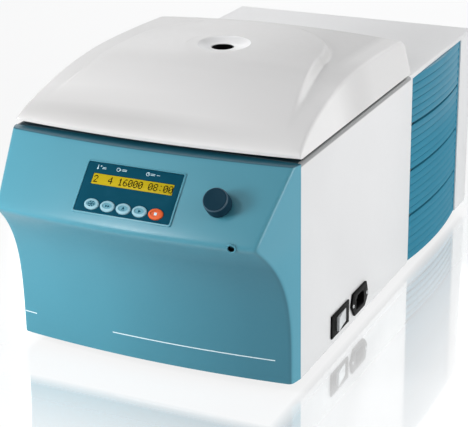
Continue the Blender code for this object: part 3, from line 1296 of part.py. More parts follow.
def mains_inlet():
    """Inlet with a chamfered flange, a keyed socket and three flat pins."""
    half = INLET_LENGTH / 2
    tall = INLET_HEIGHT / 2
    cham = INLET_CHAMFER
    outline = [(-half, 0), (cham - half, -tall), (half - cham, -tall), (half, cham - tall),
               (half, 0), (half - cham / 2, tall), (cham / 2 - half, tall)]
    face = HALF + FIT + INLET_FLANGE
    stand_up = Matrix.Rotation(math.pi / 2, 4, "Z") @ Matrix.Rotation(math.pi / 2, 4, "X")
    place = Matrix.Translation((face - INLET_FLANGE / 2, INLET_Y, SWITCH_Z)) @ stand_up
    inlet = flat_shape("mains_inlet", outline, INLET_FLANGE, "black_plastic", place)
    body = block("inlet_body",
                 (face - INLET_DEPTH, INLET_Y - INLET_BODY_LENGTH / 2, SWITCH_Z - INLET_BODY_HEIGHT / 2),
                 (face - INLET_FLANGE / 2, INLET_Y + INLET_BODY_LENGTH / 2,
                  SWITCH_Z + INLET_BODY_HEIGHT / 2))
    wide = INLET_SOCKET_LENGTH / 2
    high = INLET_SOCKET_HEIGHT / 2
    key = INLET_SOCKET_CHAMFER
    keyed = [(-wide, -high), (wide, -high), (wide, high - key), (wide - key, high),
             (key - wide, high), (-wide, high - key)]
    socket_x = face - INLET_SOCKET_DEPTH / 2 + OVERRUN / 2
    socket = flat_shape("inlet_socket", keyed, INLET_SOCKET_DEPTH + OVERRUN, None,
                        Matrix.Translation((socket_x, INLET_Y, SWITCH_Z)) @ stand_up)
    floor = face - INLET_SOCKET_DEPTH
    pins = []
    for i in (-1, 0, 1):
        y = INLET_Y + i * INLET_PIN_PITCH
        z = SWITCH_Z + (INLET_PIN_RISE if i == 0 else -INLET_PIN_RISE / 2)
        pins.append(block(f"inlet_pin_{i}",
                          (floor - OVERRUN / 2, y - INLET_PIN_WIDTH / 2, z - INLET_PIN_HEIGHT / 2),
                          (floor + INLET_PIN_LENGTH, y + INLET_PIN_WIDTH / 2,
                           z + INLET_PIN_HEIGHT / 2)))
    join(cut(join(inlet, body), socket), merged_tools("inlet_pins", pins))


def drive_module():
    """Motor electronics: a cast block with cooling fins on the left of the pan."""
    left = MODULE_SIDE_INSET - INNER_X + PAN_SHEET
    front = SPLIT_Y + MODULE_FRONT_INSET
    low = PAN_Z + FIT
    outline = []
    pitch = (MODULE_WIDTH - MODULE_FIN) / (MODULE_FIN_COUNT - 1)
    for i in range(MODULE_FIN_COUNT):
        x = i * pitch
        outline += [(x, MODULE_BASE), (x, MODULE_HEIGHT), (x + MODULE_FIN, MODULE_HEIGHT),
                    (x + MODULE_FIN, MODULE_BASE)]
    outline = [(0, 0)] + outline + [(MODULE_WIDTH, 0)]
    turn = Matrix.Rotation(math.pi / 2, 4, "X")
    spot = Matrix.Translation((left, front + MODULE_LENGTH / 2, low))
    flat_shape("drive_module", outline, MODULE_LENGTH, "rotor_aluminium", spot @ turn)


CHILLER_Y = (GRILLE_FRONT_Y + GRILLE_REAR_Y) / 2
CONDENSER_X = GRILLE_BACK_X - CONDENSER_GAP - CONDENSER_THICK / 2
CONDENSER_Z = PAN_Z + FIT + CONDENSER_HEIGHT / 2
FAN_X = CONDENSER_X - CONDENSER_THICK / 2 - FIT - FAN_FRAME_THICK
COMPRESSOR_TOP_Z = PAN_Z + FIT + COMPRESSOR_HEIGHT


def condenser():
    """Finned heat exchanger behind the right grille, one comb outline drawn upright."""
    outline = []
    count = int(CONDENSER_LENGTH / CONDENSER_FIN_PITCH)
    start = -CONDENSER_LENGTH / 2
    pitch = (CONDENSER_LENGTH - CONDENSER_FIN) / count
    deep = CONDENSER_THICK / 2
    for i in range(count + 1):
        y = start + i * pitch
        outline += [(CONDENSER_FIN_DEPTH - deep, y), (-deep, y), (-deep, y + CONDENSER_FIN),
                    (CONDENSER_FIN_DEPTH - deep, y + CONDENSER_FIN)]
    outline = outline[1:-1]
    outline += [(-x, y) for x, y in reversed(outline)]
    place = Matrix.Translation((CONDENSER_X, CHILLER_Y, CONDENSER_Z))
    flat_shape("condenser", outline, CONDENSER_HEIGHT, "zinc_sheet", place)


def fan():
    """Square frame with a cross that holds the fan motor, and the bladed wheel on its shaft."""
    half = CONDENSER_LENGTH / 2
    frame = block("fan_frame", (FAN_X, CHILLER_Y - half, PAN_Z + FIT),
                  (FAN_X + FAN_FRAME_THICK, CHILLER_Y + half, PAN_Z + FIT + CONDENSER_HEIGHT),
                  "black_plastic")
    lie = Matrix.Translation((FAN_X, CHILLER_Y, CONDENSER_Z)) @ Matrix.Rotation(math.pi / 2, 4, "Y")
    cut(frame, drum("fan_opening", (FAN_OPENING_R, FAN_OPENING_R), -OVERRUN,
                    FAN_FRAME_THICK + OVERRUN, None, lie, 24))
    reach = FAN_OPENING_R + FAN_ARM / 2
    arms = [block("fan_arm_flat", (FAN_X, CHILLER_Y - reach, CONDENSER_Z - FAN_ARM / 2),
                  (FAN_X + FAN_ARM_THICK, CHILLER_Y + reach, CONDENSER_Z + FAN_ARM / 2)),
            block("fan_arm_upright", (FAN_X, CHILLER_Y - FAN_ARM / 2, CONDENSER_Z - reach),
                  (FAN_X + FAN_ARM_THICK, CHILLER_Y + FAN_ARM / 2, CONDENSER_Z + reach)),
            drum("fan_motor", (FAN_MOTOR_R, FAN_MOTOR_R), 0, FAN_MOTOR_THICK, None, lie, 16),
            drum("fan_motor_shaft", (FAN_SHAFT_R, FAN_SHAFT_R), FAN_MOTOR_THICK / 2,
                 FAN_MOTOR_THICK + FAN_SHAFT_LENGTH, None, lie, 16)]
    join(frame, *arms)
    start = FAN_MOTOR_THICK + FIT * 2
    wheel = drum("fan_wheel", (FAN_HUB_R, FAN_HUB_R), start, start + FAN_HUB_THICK,
                 "grey_plastic", lie, 16)
    blades = []
    for i in range(FAN_BLADE_COUNT):
        place = lie @ Matrix.Rotation(2 * math.pi * i / FAN_BLADE_COUNT, 4, "Z")
        place = place @ Matrix.Translation((0, 0, start + FAN_HUB_THICK / 2))
        place = place @ Matrix.Rotation(FAN_BLADE_PITCH, 4, "X")
        blades.append(block(f"fan_blade_{i}",
                            (FAN_HUB_R * FAN_ROOT_SHARE, -FAN_BLADE_CHORD / 2, -FAN_BLADE_THICK / 2),
                            (FAN_BLADE_R, FAN_BLADE_CHORD / 2, FAN_BLADE_THICK / 2), None, place))
    bpy.context.view_layer.update()
    bore = drum("fan_wheel_bore", (FAN_SHAFT_R + FIT, FAN_SHAFT_R + FIT), start - OVERRUN,
                FAN_MOTOR_THICK + FAN_SHAFT_LENGTH + FIT, None, lie, 16)
    cut(join(wheel, merged_tools("fan_blades", blades)), bore)
    carry("fan_axis", (FAN_X, CHILLER_Y, CONDENSER_Z), (wheel,))


def chiller():
    """Partition, compressor, condenser, fan and the two copper lines."""
    half = GRILLE_BACK_X - FIT * 2
    block("partition", (-half, PARTITION_Y, PAN_Z + FIT),
          (half, PARTITION_Y + PARTITION_SHEET, DECK_UNDER_Z - FIT), "zinc_sheet")
    y = PARTITION_Y + COMPRESSOR_BACK
    low = PAN_Z + FIT
    dome = COMPRESSOR_TOP_Z - COMPRESSOR_DOME
    band = low + COMPRESSOR_HEIGHT / 2
    turned("compressor", [
        (0, COMPRESSOR_TOP_Z), (COMPRESSOR_R * 0.55, COMPRESSOR_TOP_Z - COMPRESSOR_DOME * 0.1),
        (COMPRESSOR_R * 0.87, COMPRESSOR_TOP_Z - COMPRESSOR_DOME * 0.5), (COMPRESSOR_R, dome),
        (COMPRESSOR_R, band + COMPRESSOR_BAND_HEIGHT / 2),
        (COMPRESSOR_R + COMPRESSOR_BAND, band + COMPRESSOR_BAND_HEIGHT / 2),
        (COMPRESSOR_R + COMPRESSOR_BAND, band - COMPRESSOR_BAND_HEIGHT / 2),
        (COMPRESSOR_R, band - COMPRESSOR_BAND_HEIGHT / 2), (COMPRESSOR_R, low + COMPRESSOR_FOOT),
        (COMPRESSOR_FOOT_R, low + COMPRESSOR_FOOT), (COMPRESSOR_FOOT_R, low), (0, low),
    ], "dark_enamel", Matrix.Translation((-COMPRESSOR_X, y, 0)), 18)
    condenser()
    fan()
    rise = PAN_Z + FIT + CONDENSER_HEIGHT + LINE_RISE
    start = COMPRESSOR_TOP_Z + FIT * 2
    end = PAN_Z + FIT * 2 + CONDENSER_HEIGHT
    pipe("discharge_line", [
        (-COMPRESSOR_X, y, start), (-COMPRESSOR_X, y, rise - LINE_BEND),
        (-COMPRESSOR_X + LINE_BEND * 0.3, y, rise - LINE_BEND * 0.3),
        (-COMPRESSOR_X + LINE_BEND, y, rise), (CONDENSER_X - LINE_BEND, CHILLER_Y, rise),
        (CONDENSER_X - LINE_BEND * 0.3, CHILLER_Y, rise - LINE_BEND * 0.3),
        (CONDENSER_X, CHILLER_Y, rise - LINE_BEND), (CONDENSER_X, CHILLER_Y, end),
    ], LINE_R, "copper")
    side = -COMPRESSOR_X - COMPRESSOR_R * 0.5
    low_rise = start + LINE_BEND * 1.5
    pipe("suction_line", [
        (side, y, start - COMPRESSOR_DOME * 0.1), (side, y, low_rise - LINE_BEND),
        (side, y - LINE_BEND * 0.3, low_rise - LINE_BEND * 0.3), (side, y - LINE_BEND, low_rise),
        (side, PARTITION_Y + PARTITION_SHEET + FIT, low_rise),
    ], LINE_R, "copper")


def centrifuge():
    base_pan()
    feet()
    housing()
    rear_panel()
    grille("grille_right", 1)
    grille("grille_left", -1)
    front_panel()
    control_plate()
    keys()
    control_board()
    knob_and_encoder()
    release_port()
    chamber()
    motor_group()
    rotor_group()
    lid_parts = [lid_outer()]
    lid_parts += lid_inside()
    for side, name in ((-1, "left"), (1, "right")):
        leaf, pin = hinge(side, name)
        lid_parts.append(leaf)
    carry("lid_axis", (0, HINGE_Y, HINGE_Z), lid_parts)
    lock_unit()
    mains_switch()
    mains_inlet()
    drive_module()
    chiller()


centrifuge()
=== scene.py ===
# %% [markdown]
# # A refrigerated bench centrifuge
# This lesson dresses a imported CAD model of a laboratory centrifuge. The CAD gives every piece its
# size, place and joint. Here the pieces that show get a finer form, and every surface gets a
# finish made of shader nodes. Lengths are metres, Z is up, and the controls face -Y.

# %% Load the frame
import json
import math

import bpy
from mathutils import Matrix, Vector


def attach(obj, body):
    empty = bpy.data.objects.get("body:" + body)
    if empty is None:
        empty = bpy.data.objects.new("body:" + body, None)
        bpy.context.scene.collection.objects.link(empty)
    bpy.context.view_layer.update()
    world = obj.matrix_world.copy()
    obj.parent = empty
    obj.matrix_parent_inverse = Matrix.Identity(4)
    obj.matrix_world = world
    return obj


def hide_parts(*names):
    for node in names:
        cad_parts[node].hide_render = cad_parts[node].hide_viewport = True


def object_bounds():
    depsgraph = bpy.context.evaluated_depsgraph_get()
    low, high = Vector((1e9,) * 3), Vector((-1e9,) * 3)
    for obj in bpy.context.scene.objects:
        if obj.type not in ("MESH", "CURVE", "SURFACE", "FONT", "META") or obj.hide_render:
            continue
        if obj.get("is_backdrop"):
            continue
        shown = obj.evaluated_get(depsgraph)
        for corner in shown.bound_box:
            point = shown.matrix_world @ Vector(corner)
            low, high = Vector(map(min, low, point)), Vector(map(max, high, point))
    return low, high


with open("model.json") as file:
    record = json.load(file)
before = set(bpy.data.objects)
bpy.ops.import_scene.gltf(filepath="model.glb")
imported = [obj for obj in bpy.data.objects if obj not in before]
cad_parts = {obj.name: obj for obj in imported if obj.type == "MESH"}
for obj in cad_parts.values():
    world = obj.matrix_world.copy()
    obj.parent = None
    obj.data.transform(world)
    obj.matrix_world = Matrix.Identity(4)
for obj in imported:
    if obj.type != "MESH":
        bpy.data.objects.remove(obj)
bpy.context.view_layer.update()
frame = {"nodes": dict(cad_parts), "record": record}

# %% [markdown]
# ## Sizes shared with the CAD
# A finer piece only fits if it follows the same planes as the solid that it stands for. So the
# main planes are repeated here once, with the names that the rest of the lesson uses. FIT is the
# air between fitted pieces, NEAR the width of a search for points that lie on a plane, and CLEAR
# how far a cutting tool stands out of what it cuts.

# %% Planes of the case
HALF = 0.165
NOSE_Y, SPLIT_Y, REAR_Y = -0.325, -0.243, 0.325
LID_FRONT, LID_REAR = -0.242, 0.085
BASE_Z, DECK_Z, SEAM_Z, CASE_HEIGHT = 0.013, 0.250, 0.254, 0.313
AXIS_Y = -0.075
TILT, TAPER = math.radians(47.1), math.radians(12.6)
FIT, NEAR, CLEAR = 0.0003, 0.00001, 0.004
print("case", 2 * HALF, "wide", REAR_Y - NOSE_Y, "deep", CASE_HEIGHT, "high")

# %% [markdown]
# ## Small tools for modelling
# Operators act on whatever is selected, so every step starts by deselecting all and choosing
# one object. Faces, edges and points are picked by their place, which a script can repeat
# exactly. Every move is applied, so that the object sits at the origin with its form in its mesh.

# %% Choose an object and leave edit mode
def choose(piece):
    if bpy.context.mode != "OBJECT":
        bpy.ops.object.mode_set(mode="OBJECT")
    bpy.ops.object.select_all(action="DESELECT")
    piece.select_set(True)
    bpy.context.view_layer.objects.active = piece
    return piece


def start(name):
    """Name the primitive that was just added and make it the chosen piece."""
    piece = bpy.context.active_object
    piece.name = piece.data.name = name
    return choose(piece)


def edit(piece, kind="FACE", test=None):
    """Enter edit mode with only the faces, edges or points that pass the test selected."""
    choose(piece)
    bpy.ops.object.mode_set(mode="EDIT")
    bpy.ops.mesh.select_mode(type=kind)
    bpy.ops.mesh.select_all(action="DESELECT" if test else "SELECT")
    if test:
        bpy.ops.object.mode_set(mode="OBJECT")
        mesh = piece.data
        if kind == "FACE":
            for face in mesh.polygons:
                face.select = test(face.center, face.normal)
        elif kind == "VERT":
            for point in mesh.vertices:
                point.select = test(point.co)
        else:
            for edge in mesh.edges:
                first, second = (mesh.vertices[i].co for i in edge.vertices)
                edge.select = test(first, second)
        bpy.ops.object.mode_set(mode="EDIT")


# %% Frames to put a piece in
def at(x, y, z=0):
    return Matrix.Translation((x, y, z))


def turned_by(degrees, axis="Z"):
    return Matrix.Rotation(math.radians(degrees), 4, axis)


# %% Place, smooth and hand over a finished piece
PIECES = {}


def fix_place(piece):
    """Write the chosen piece's place, turn and scale into its mesh."""
    bpy.ops.object.transform_apply(location=True, rotation=True, scale=True)
    return piece


def put_in(piece, place):
    """Move the piece by a frame."""
    choose(piece)
    piece.matrix_world = place @ piece.matrix_world
    return fix_place(piece)


def settle(piece, angle=35):
    """Fix the piece's place and shade it smooth up to an angle."""
    fix_place(choose(piece))
    bpy.ops.object.shade_smooth_by_angle(angle=math.radians(angle))
    return piece


def hand_over(piece, body, finish, slot, *nodes):
    """Give the piece its finish, let it ride on a body and stand for the CAD nodes."""
    piece.data.materials.clear()
    piece.data.materials.append(finish)
    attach(piece, body)
    if nodes:
        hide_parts(*nodes)
    PIECES[piece.name] = len(piece.data.polygons)
    return piece


def complete(piece, body, finish, slot, *nodes, angle=35):
    """Settle a piece and hand it over."""
    return hand_over(settle(piece, angle), body, finish, slot, *nodes)


# %% Apply modifiers, cut with tools and join meshes
def apply_all(piece):
    choose(piece)
    for step in list(piece.modifiers):
        bpy.ops.object.modifier_apply(modifier=step.name)
    return piece


def carve(piece, *tools, operation="DIFFERENCE"):
    """Cut or join with tools by a Boolean that is applied, and remove the tools."""
    for tool in tools:
        choose(piece)
        step = piece.modifiers.new("carve", "BOOLEAN")
        step.operation, step.object, step.solver = operation, tool, "EXACT"
        bpy.ops.object.modifier_apply(modifier=step.name)
        bpy.data.objects.remove(tool, do_unlink=True)
    return piece


def face_outwards(piece, out):
    """Turn all faces of an open sheet round if most of them look away from a direction."""
    choose(piece)
    if sum(face.normal.dot(out) for face in piece.data.polygons) < 0:
        edit(piece)
        bpy.ops.mesh.flip_normals()
        choose(piece)


def thicken(piece, thickness, side=-1, even=False):
    """Give a sheet its thickness, behind its faces or to both sides alike."""
    choose(piece)
    step = piece.modifiers.new("sheet", "SOLIDIFY")
    step.thickness, step.offset, step.use_even_offset = thickness, side, even
    return apply_all(piece)


def unite(*pieces):
    """Join separate meshes into the first one."""
    choose(pieces[0])
    for piece in pieces[1:]:
        piece.select_set(True)
    bpy.ops.object.join()
    return choose(pieces[0])


# %% [markdown]
# ## Four ways to begin a piece
# Most of the machine is made of boxes with soft edges, turned shapes, flat outlines and one
# repeated trick: a fine copy of a CAD solid whose edges are broken with a small bevel.

# %% A box between two corners
def box(name, low, high, edge=0, segments=2, test=None):
    middle = [(a + b) / 2 for a, b in zip(low, high)]
    bpy.ops.mesh.primitive_cube_add(size=1, location=middle)
    piece = start(name)
    piece.scale = [b - a for a, b in zip(low, high)]
    fix_place(piece)
    if edge:
        edit(piece, "EDGE", test or (lambda a, b: True))
        bpy.ops.mesh.bevel(offset=edge, segments=segments, affect="EDGES")
        choose(piece)
    return piece


def stands(a, b):
    """True for an edge that runs along the piece's own Z."""
    return abs(a.z - b.z) > max(abs(a.x - b.x), abs(a.y - b.y))


# %% A turned shape
def turned(name, profile, centre=(0, AXIS_Y), steps=96, closed=False):
    """Extrude a corner along a profile of (radius, height) points and spin it about Z."""
    bpy.ops.mesh.primitive_plane_add(size=0.001, location=(0, 0, 0))
    piece = start(name)
    edit(piece, "VERT")
    bpy.ops.mesh.merge(type="CENTER")
    bpy.ops.transform.translate(value=(profile[0][0], 0, profile[0][1]))
    points = profile + profile[:1] if closed else profile
    for (r0, z0), (r1, z1) in zip(points, points[1:]):
        bpy.ops.mesh.extrude_region_move(TRANSFORM_OT_translate={"value": (r1 - r0, 0, z1 - z0)})
    bpy.ops.mesh.select_all(action="SELECT")
    bpy.ops.mesh.remove_doubles(threshold=0.000005)
    bpy.ops.mesh.spin(steps=steps, angle=2 * math.pi, center=(0, 0, 0), axis=(0, 0, 1))
    bpy.ops.mesh.select_all(action="SELECT")
    bpy.ops.mesh.remove_doubles(threshold=0.000005)
    bpy.ops.mesh.normals_make_consistent(inside=False)
    return put_in(piece, at(*centre))


# %% A finer copy of a CAD solid
def soft_edges(piece, width, segments, angle):
    """Bevel every edge that is sharper than an angle."""
    choose(piece)
    step = piece.modifiers.new("soft_edges", "BEVEL")
    step.width, step.segments = width, segments
    step.limit_method, step.angle_limit = "ANGLE", math.radians(angle)
    return apply_all(piece)


def refined(node, name, edge=0.0004, segments=2, angle=35):
    """Merge a copy of the CAD triangles, clear the flat ones and break the sharp edges."""
    source = frame["nodes"][node]
    piece = bpy.data.objects.new(name, source.data.copy())
    piece.matrix_world = source.matrix_world.copy()
    piece.data.name = name
    bpy.context.scene.collection.objects.link(piece)
    fix_place(choose(piece))
    edit(piece)
    bpy.ops.mesh.remove_doubles(threshold=0.00002)
    bpy.ops.mesh.dissolve_limited(angle_limit=math.radians(1))
    return settle(soft_edges(piece, edge, segments, angle), angle)


# %% [markdown]
# ## Shader sums in plain Python
# A finish is a small sum of masks and noises. The class below wraps one node socket, so that an
# expression such as `base + grain * 0.1` adds its own Math nodes. Every other node comes from
# one method, `node`, which sets the node's settings first and then its sockets. Most masks are
# a ramp between two places, so `rise` says that in one word.

# %% A socket that can be added and multiplied
class Wire:
    def __init__(self, tree, socket):
        self.tree, self.socket = tree, socket

    def node(self, kind, settings=None, output=0, **values):
        made = self.tree.nodes.new(kind)
        for key, value in (settings or {}).items():
            setattr(made, key, value)
        for key, value in values.items():
            self.plug(made, int(key[2:]) if key[2:].isdigit() else key.replace("_", " "), value)
        return Wire(self.tree, made.outputs[output])

    def plug(self, made, key, value):
        """Link a wire to a node's socket, or set the socket to a plain value."""
        if isinstance(value, Wire):
            self.tree.links.new(value.socket, made.inputs[key])
        else:
            made.inputs[key].default_value = value

    def sum(self, operation, *terms):
        named = {f"in{i}": term for i, term in enumerate(terms)}
        return self.node("ShaderNodeMath", {"operation": operation}, **named)

    def __add__(self, other): return self.sum("ADD", self, other)
    def __radd__(self, other): return self.sum("ADD", other, self)
    def __sub__(self, other): return self.sum("SUBTRACT", self, other)
    def __rsub__(self, other): return self.sum("SUBTRACT", other, self)
    def __mul__(self, other): return self.sum("MULTIPLY", self, other)
    def __rmul__(self, other): return self.sum("MULTIPLY", other, self)
    def __truediv__(self, other): return self.sum("DIVIDE", self, other)
    def above(self, edge): return self.sum("GREATER_THAN", self, edge)
    def below(self, edge): return self.sum("LESS_THAN", self, edge)
    def size(self): return self.sum("ABSOLUTE", self)
    def root(self): return self.sum("SQRT", self)
    def wave(self): return self.sum("SINE", self)
    def clamp(self): return self.node("ShaderNodeClamp", Value=self)

    def rise(self, start, end):
        """0 at the start, 1 at the end and a ramp between; the end may be the lower one."""
        return ((self - start) / (end - start)).clamp()


# %% A finish with the parts that all finishes share
class Finish(Wire):
    def __init__(self, name, **fixed):
        self.made = bpy.data.materials.new(name)
        self.made.use_nodes = True
        self.tree = self.made.node_tree
        self.shader = self.tree.nodes["Principled BSDF"]
        self.place = self.node("ShaderNodeTexCoord", output="Object")
        apart = self.node("ShaderNodeSeparateXYZ", Vector=self.place)
        outs = apart.socket.node.outputs
        self.x, self.y, self.z = (Wire(self.tree, outs[i]) for i in range(3))
        self.set(**fixed)

    def set(self, **values):
        for key, value in values.items():
            self.plug(self.shader, key.replace("_", " "), value)
        return self

    def noise(self, scale, detail=2.0, stretch=None):
        """Grain of so many lumps a metre, drawn out along an axis when stretched."""
        place = self.place
        if stretch:
            place = self.node("ShaderNodeMapping", Vector=place, Scale=stretch)
        return self.node("ShaderNodeTexNoise", Vector=place, Scale=scale, Detail=detail)

    def mix(self, share, first, second):
        """Two colours, from the first at 0 to the second at 1."""
        return self.node("ShaderNodeMix", {"data_type": "RGBA"}, output=2,
                         in0=share, in6=first, in7=second)

    def bump(self, height, depth, strength=1.0):
        return self.set(Normal=self.node("ShaderNodeBump", Height=height, Distance=depth,
                                         Strength=strength))


def shade(hex_code, gain=1.0, lift=0.0):
    """A colour given as #RRGGBB, made linear, then multiplied and lifted."""
    parts = [int(hex_code[i:i + 2], 16) / 255 for i in (1, 3, 5)]
    linear = [p / 12.92 if p <= 0.04045 else ((p + 0.055) / 1.055) ** 2.4 for p in parts]
    return (*(min(p * gain + lift, 1) for p in linear), 1)


print("tools ready")

# %% [markdown]
# ## Enamels and moulded plastic
# The white cover and casing are powder coated steel: slightly off white, with the fine orange
# peel that baked powder leaves. The teal mouldings are plastic from a spark eroded tool, so they
# have a finer and sharper grain, and hands have polished it a little in places. Each big piece
# also has zones of painted light and shade, and the moulding a printed stripe. A zone is a mask
# on Object coordinates, so it stays where it is from every side, and `zones` lays one over the
# other as a painter does.

# %% Lay zones of tone over a colour
def zones(made, colour, *pairs):
    """Each pair is a mask and the tone that shows where the mask is 1."""
    for mask, tone in pairs:
        colour = made.mix(mask, colour, shade(tone))
    return colour


# %% White powder coat
COAT_TONE, HUB_RING_R, HUB_RING_BACK = "#DDDDDD", 0.0296, 0.004


def casing_tones(made, cloud):
    """Painted shade on the edge beside the cover and under the cover's lip, painted light on the
    hood's left.
    """
    x, y, z, across = made.x, made.y, made.z, made.x * made.x
    # Painted shade: grey on the rounded edge beside the cover, where the seam lies in shadow.
    edge = z.rise(DECK_Z - 0.0046, DECK_Z - 0.0030) * across.above(0.1605 ** 2) * y.below(LID_REAR)
    # Painted light: the hood is lighter towards the left.
    hood = z.above(DECK_Z - 0.001) * y.above(LID_REAR) * x.rise(0.12, 0)
    # Painted shadow: dark on the deck under the cover's front lip.
    lip_shadow = z.above(DECK_Z - 0.0034) * across.below(0.1615 ** 2) * y.below(-0.230)
    base = made.mix((cloud - 0.35) * 1.6, shade(COAT_TONE), shade(COAT_TONE, 0.955))
    return zones(made, base, (edge, "#8E8F8F"), (hood, "#ECECEC"), (lip_shadow, "#10262E"))


def cover_tones(made, cloud):
    """Painted shade greyer to the rear, the right and the front lip, painted light on the right
    flank and a brighter ring round the hub.
    """
    x, y = made.x, made.y
    # Painted shade: greyer to the rear, at the front left, to the right and along the front lip;
    # painted light on the right flank. The faint cloud is random tone.
    base = made.mix(y.rise(-0.15, -0.03), shade("#E4E3E2"), shade("#CCCBCA"))
    base = zones(made, base,
                 (y.rise(-0.19, -0.23) * x.rise(0.04, -0.12), "#CCCBCA"),
                 (x.rise(-0.03, 0.06) * y.rise(-0.13, -0.05), "#C5C4C3"),
                 (x.rise(0.128, 0.140) * y.rise(-0.09, -0.03), "#D6D5D4"),
                 (y.rise(-0.218, -0.234) * x.rise(0.14, -0.08), "#C4C3C2"),
                 ((cloud - 0.35) * 0.05, "#8F8F8F"))
    # Painted light: the ring round the hub is brighter behind and to the right.
    back = y - AXIS_Y - HUB_RING_BACK
    ring = (x * x + back * back).below(HUB_RING_R ** 2)
    lit = (back / 0.03 + x / 0.05 + 0.45).clamp()
    return made.mix(ring, base, made.mix(lit, shade("#CBCBCB"), shade("#FBFBFB")))


def white_coat(name, tones):
    made = Finish(name)
    made.set(Base_Color=tones(made, made.noise(9, 3)))
    made.set(Roughness=0.36 + made.noise(160, 3) * 0.16)
    made.bump(made.noise(900, 2), 0.00006, 0.35)
    return made.made


WHITE = white_coat("white_powder_coat", casing_tones)
LID_WHITE = white_coat("cover_powder_coat", cover_tones)
print(WHITE.name, LID_WHITE.name)

# %% Teal moulding, with the thin stripe printed low on the front
HANDLED_FROM, HANDLED_TO = 0.15, 0.18
STRIPE_Z, STRIPE_HALF = 0.0382, 0.00055


def moulding_tones(made, colour):
    """Painted shade low on the right and on the ledge under the cover's lip, painted light on the
    side face, and the printed stripe.
    """
    x, y, z = made.x, made.y, made.z
    # Painted shade: darker low on the right, below the nose.
    low_right_shade = x.rise(-0.05, 0.12) * (1 - z.rise(HANDLED_FROM, HANDLED_TO))
    # Painted light: the side face is lighter.
    side = (x - ((y - SPLIT_Y) * math.tan(TAPER) + HALF)).rise(-0.0015, -0.0005)
    # Painted shade: the ledge under the cover's lip is dark.
    ledge = z.rise(DECK_Z - 0.0016, DECK_Z - 0.0011)
    band = (z - STRIPE_Z).size().below(STRIPE_HALF) * y.below(-0.25)
    left = x.below(-0.1430) * x.above(-0.1590)
    right = x.below(0.1440) * x.above(-0.0430)
    return zones(made, colour, (low_right_shade, "#357385"), (side, "#4D96AA"), (ledge, "#1D5768"),
                 (band * (left + right), "#D6E6EA"))


def teal(name, tone, specular=0.5, tones=None):
    """Grained plastic that is smoother where hands reach it."""
    made = Finish(name, Specular_IOR_Level=specular)
    colour = made.mix((made.noise(12, 3) - 0.3) * 1.4, shade(tone), shade(tone, 0.93))
    made.set(Base_Color=tones(made, colour) if tones else colour)
    handled = made.z.rise(HANDLED_FROM, HANDLED_TO)
    made.set(Roughness=0.5 - handled * 0.23 + made.noise(240, 3) * 0.12)
    made.bump(made.noise(1500, 2), 0.00004, 0.4)
    return made.made


TEAL = teal("teal_moulding_grain", "#438799", tones=moulding_tones)
VENT_TEAL = teal("teal_vent_grain", "#33819A", 0.08)
print(TEAL.name, VENT_TEAL.name)

# %% [markdown]
# ## Small plastics, rubber and glass
# Each small part has its own tone. All of them get a faint change of tone and gloss, because a
# surface with one flat value looks like paint on a screen and not like a thing.

# %% Plastics with a fine grain
def plastic(name, tone, roughness, grain=1100, depth=0.00003, specular=0.5):
    made = Finish(name, Specular_IOR_Level=specular)
    worn = (made.noise(60, 3) - 0.45) * 1.6
    made.set(Base_Color=made.mix(worn, shade(tone), shade(tone, 1.18, 0.004)))
    made.set(Roughness=roughness - 0.05 + made.noise(300, 3) * 0.12)
    made.bump(made.noise(grain, 2), depth, 0.4)
    return made.made


NAVY = plastic("navy_overlay", "#0B4153", 0.5, 1800, specular=0.02)
PALE_KEY = plastic("pale_key_cap", "#84AEBB", 0.45)
KEY_FACE = plastic("key_face_print", "#5F95A5", 0.5, specular=0.2)
STOP_KEY = plastic("orange_key_cap", "#CE5A2A", 0.45, specular=0.3)
SLATE = plastic("slate_knob_skin", "#122F3D", 0.5, 1600, specular=0.06)
# The knob's paler chamfer ring is a painted highlight.
SLATE_EDGE = plastic("slate_painted_highlight", "#3C5361", 0.45, 1600, specular=0.2)
BLACK = plastic("black_socket_plastic", "#060607", 0.5, specular=0.05)
GREY = plastic("light_grey_plastic", "#C4C7C8", 0.42)
PANEL_GREY = plastic("cover_panel_grey", "#85898B", 0.5)
BUSH = plastic("bush_plastic", "#4F8B9C", 0.45, specular=0.2)
RUBBER = plastic("black_rubber_skin", "#151515", 0.75, 700, 0.0001)
PRINT = plastic("pale_print", "#BFD9E2", 0.5)
INK = plastic("display_ink", "#14110A", 0.6, specular=0.02)
BOARD = plastic("green_board_lacquer", "#0F5A34", 0.35, 500)
FOAM = plastic("pale_foam", "#D8CFA8", 0.9, 260, 0.0006)
DARK = plastic("black_enamel", "#121315", 0.35, 500, 0.00006)
print("plastics", len(bpy.data.materials))

# %% The lit display and the sight glass
def lit_display():
    made = Finish("amber_display", Specular_IOR_Level=0.05, Emission_Strength=0.10)
    glow = 1 - (made.x.size() / 0.075).clamp() * 0.35
    colour = made.mix(glow, shade("#8C7A12"), shade("#AD991A"))
    made.set(Base_Color=colour, Emission_Color=colour)
    made.set(Roughness=0.26 + made.noise(700, 1) * 0.08)
    return made.made


def dark_glass():
    made = Finish("smoked_sight_glass", Specular_IOR_Level=0.18)
    made.set(Base_Color=made.mix(made.noise(40, 2), shade("#050505"), shade("#0C0D0E")))
    made.set(Roughness=0.10 + made.noise(300, 2) * 0.05)
    return made.made


DISPLAY, GLASS = lit_display(), dark_glass()
print(DISPLAY.name, GLASS.name)

# %% [markdown]
# ## Metals
# Sheet steel is plated and a little mottled, the bowl is polished round its axis, the rotor is
# turned aluminium with fine tool marks, and copper has started to darken.

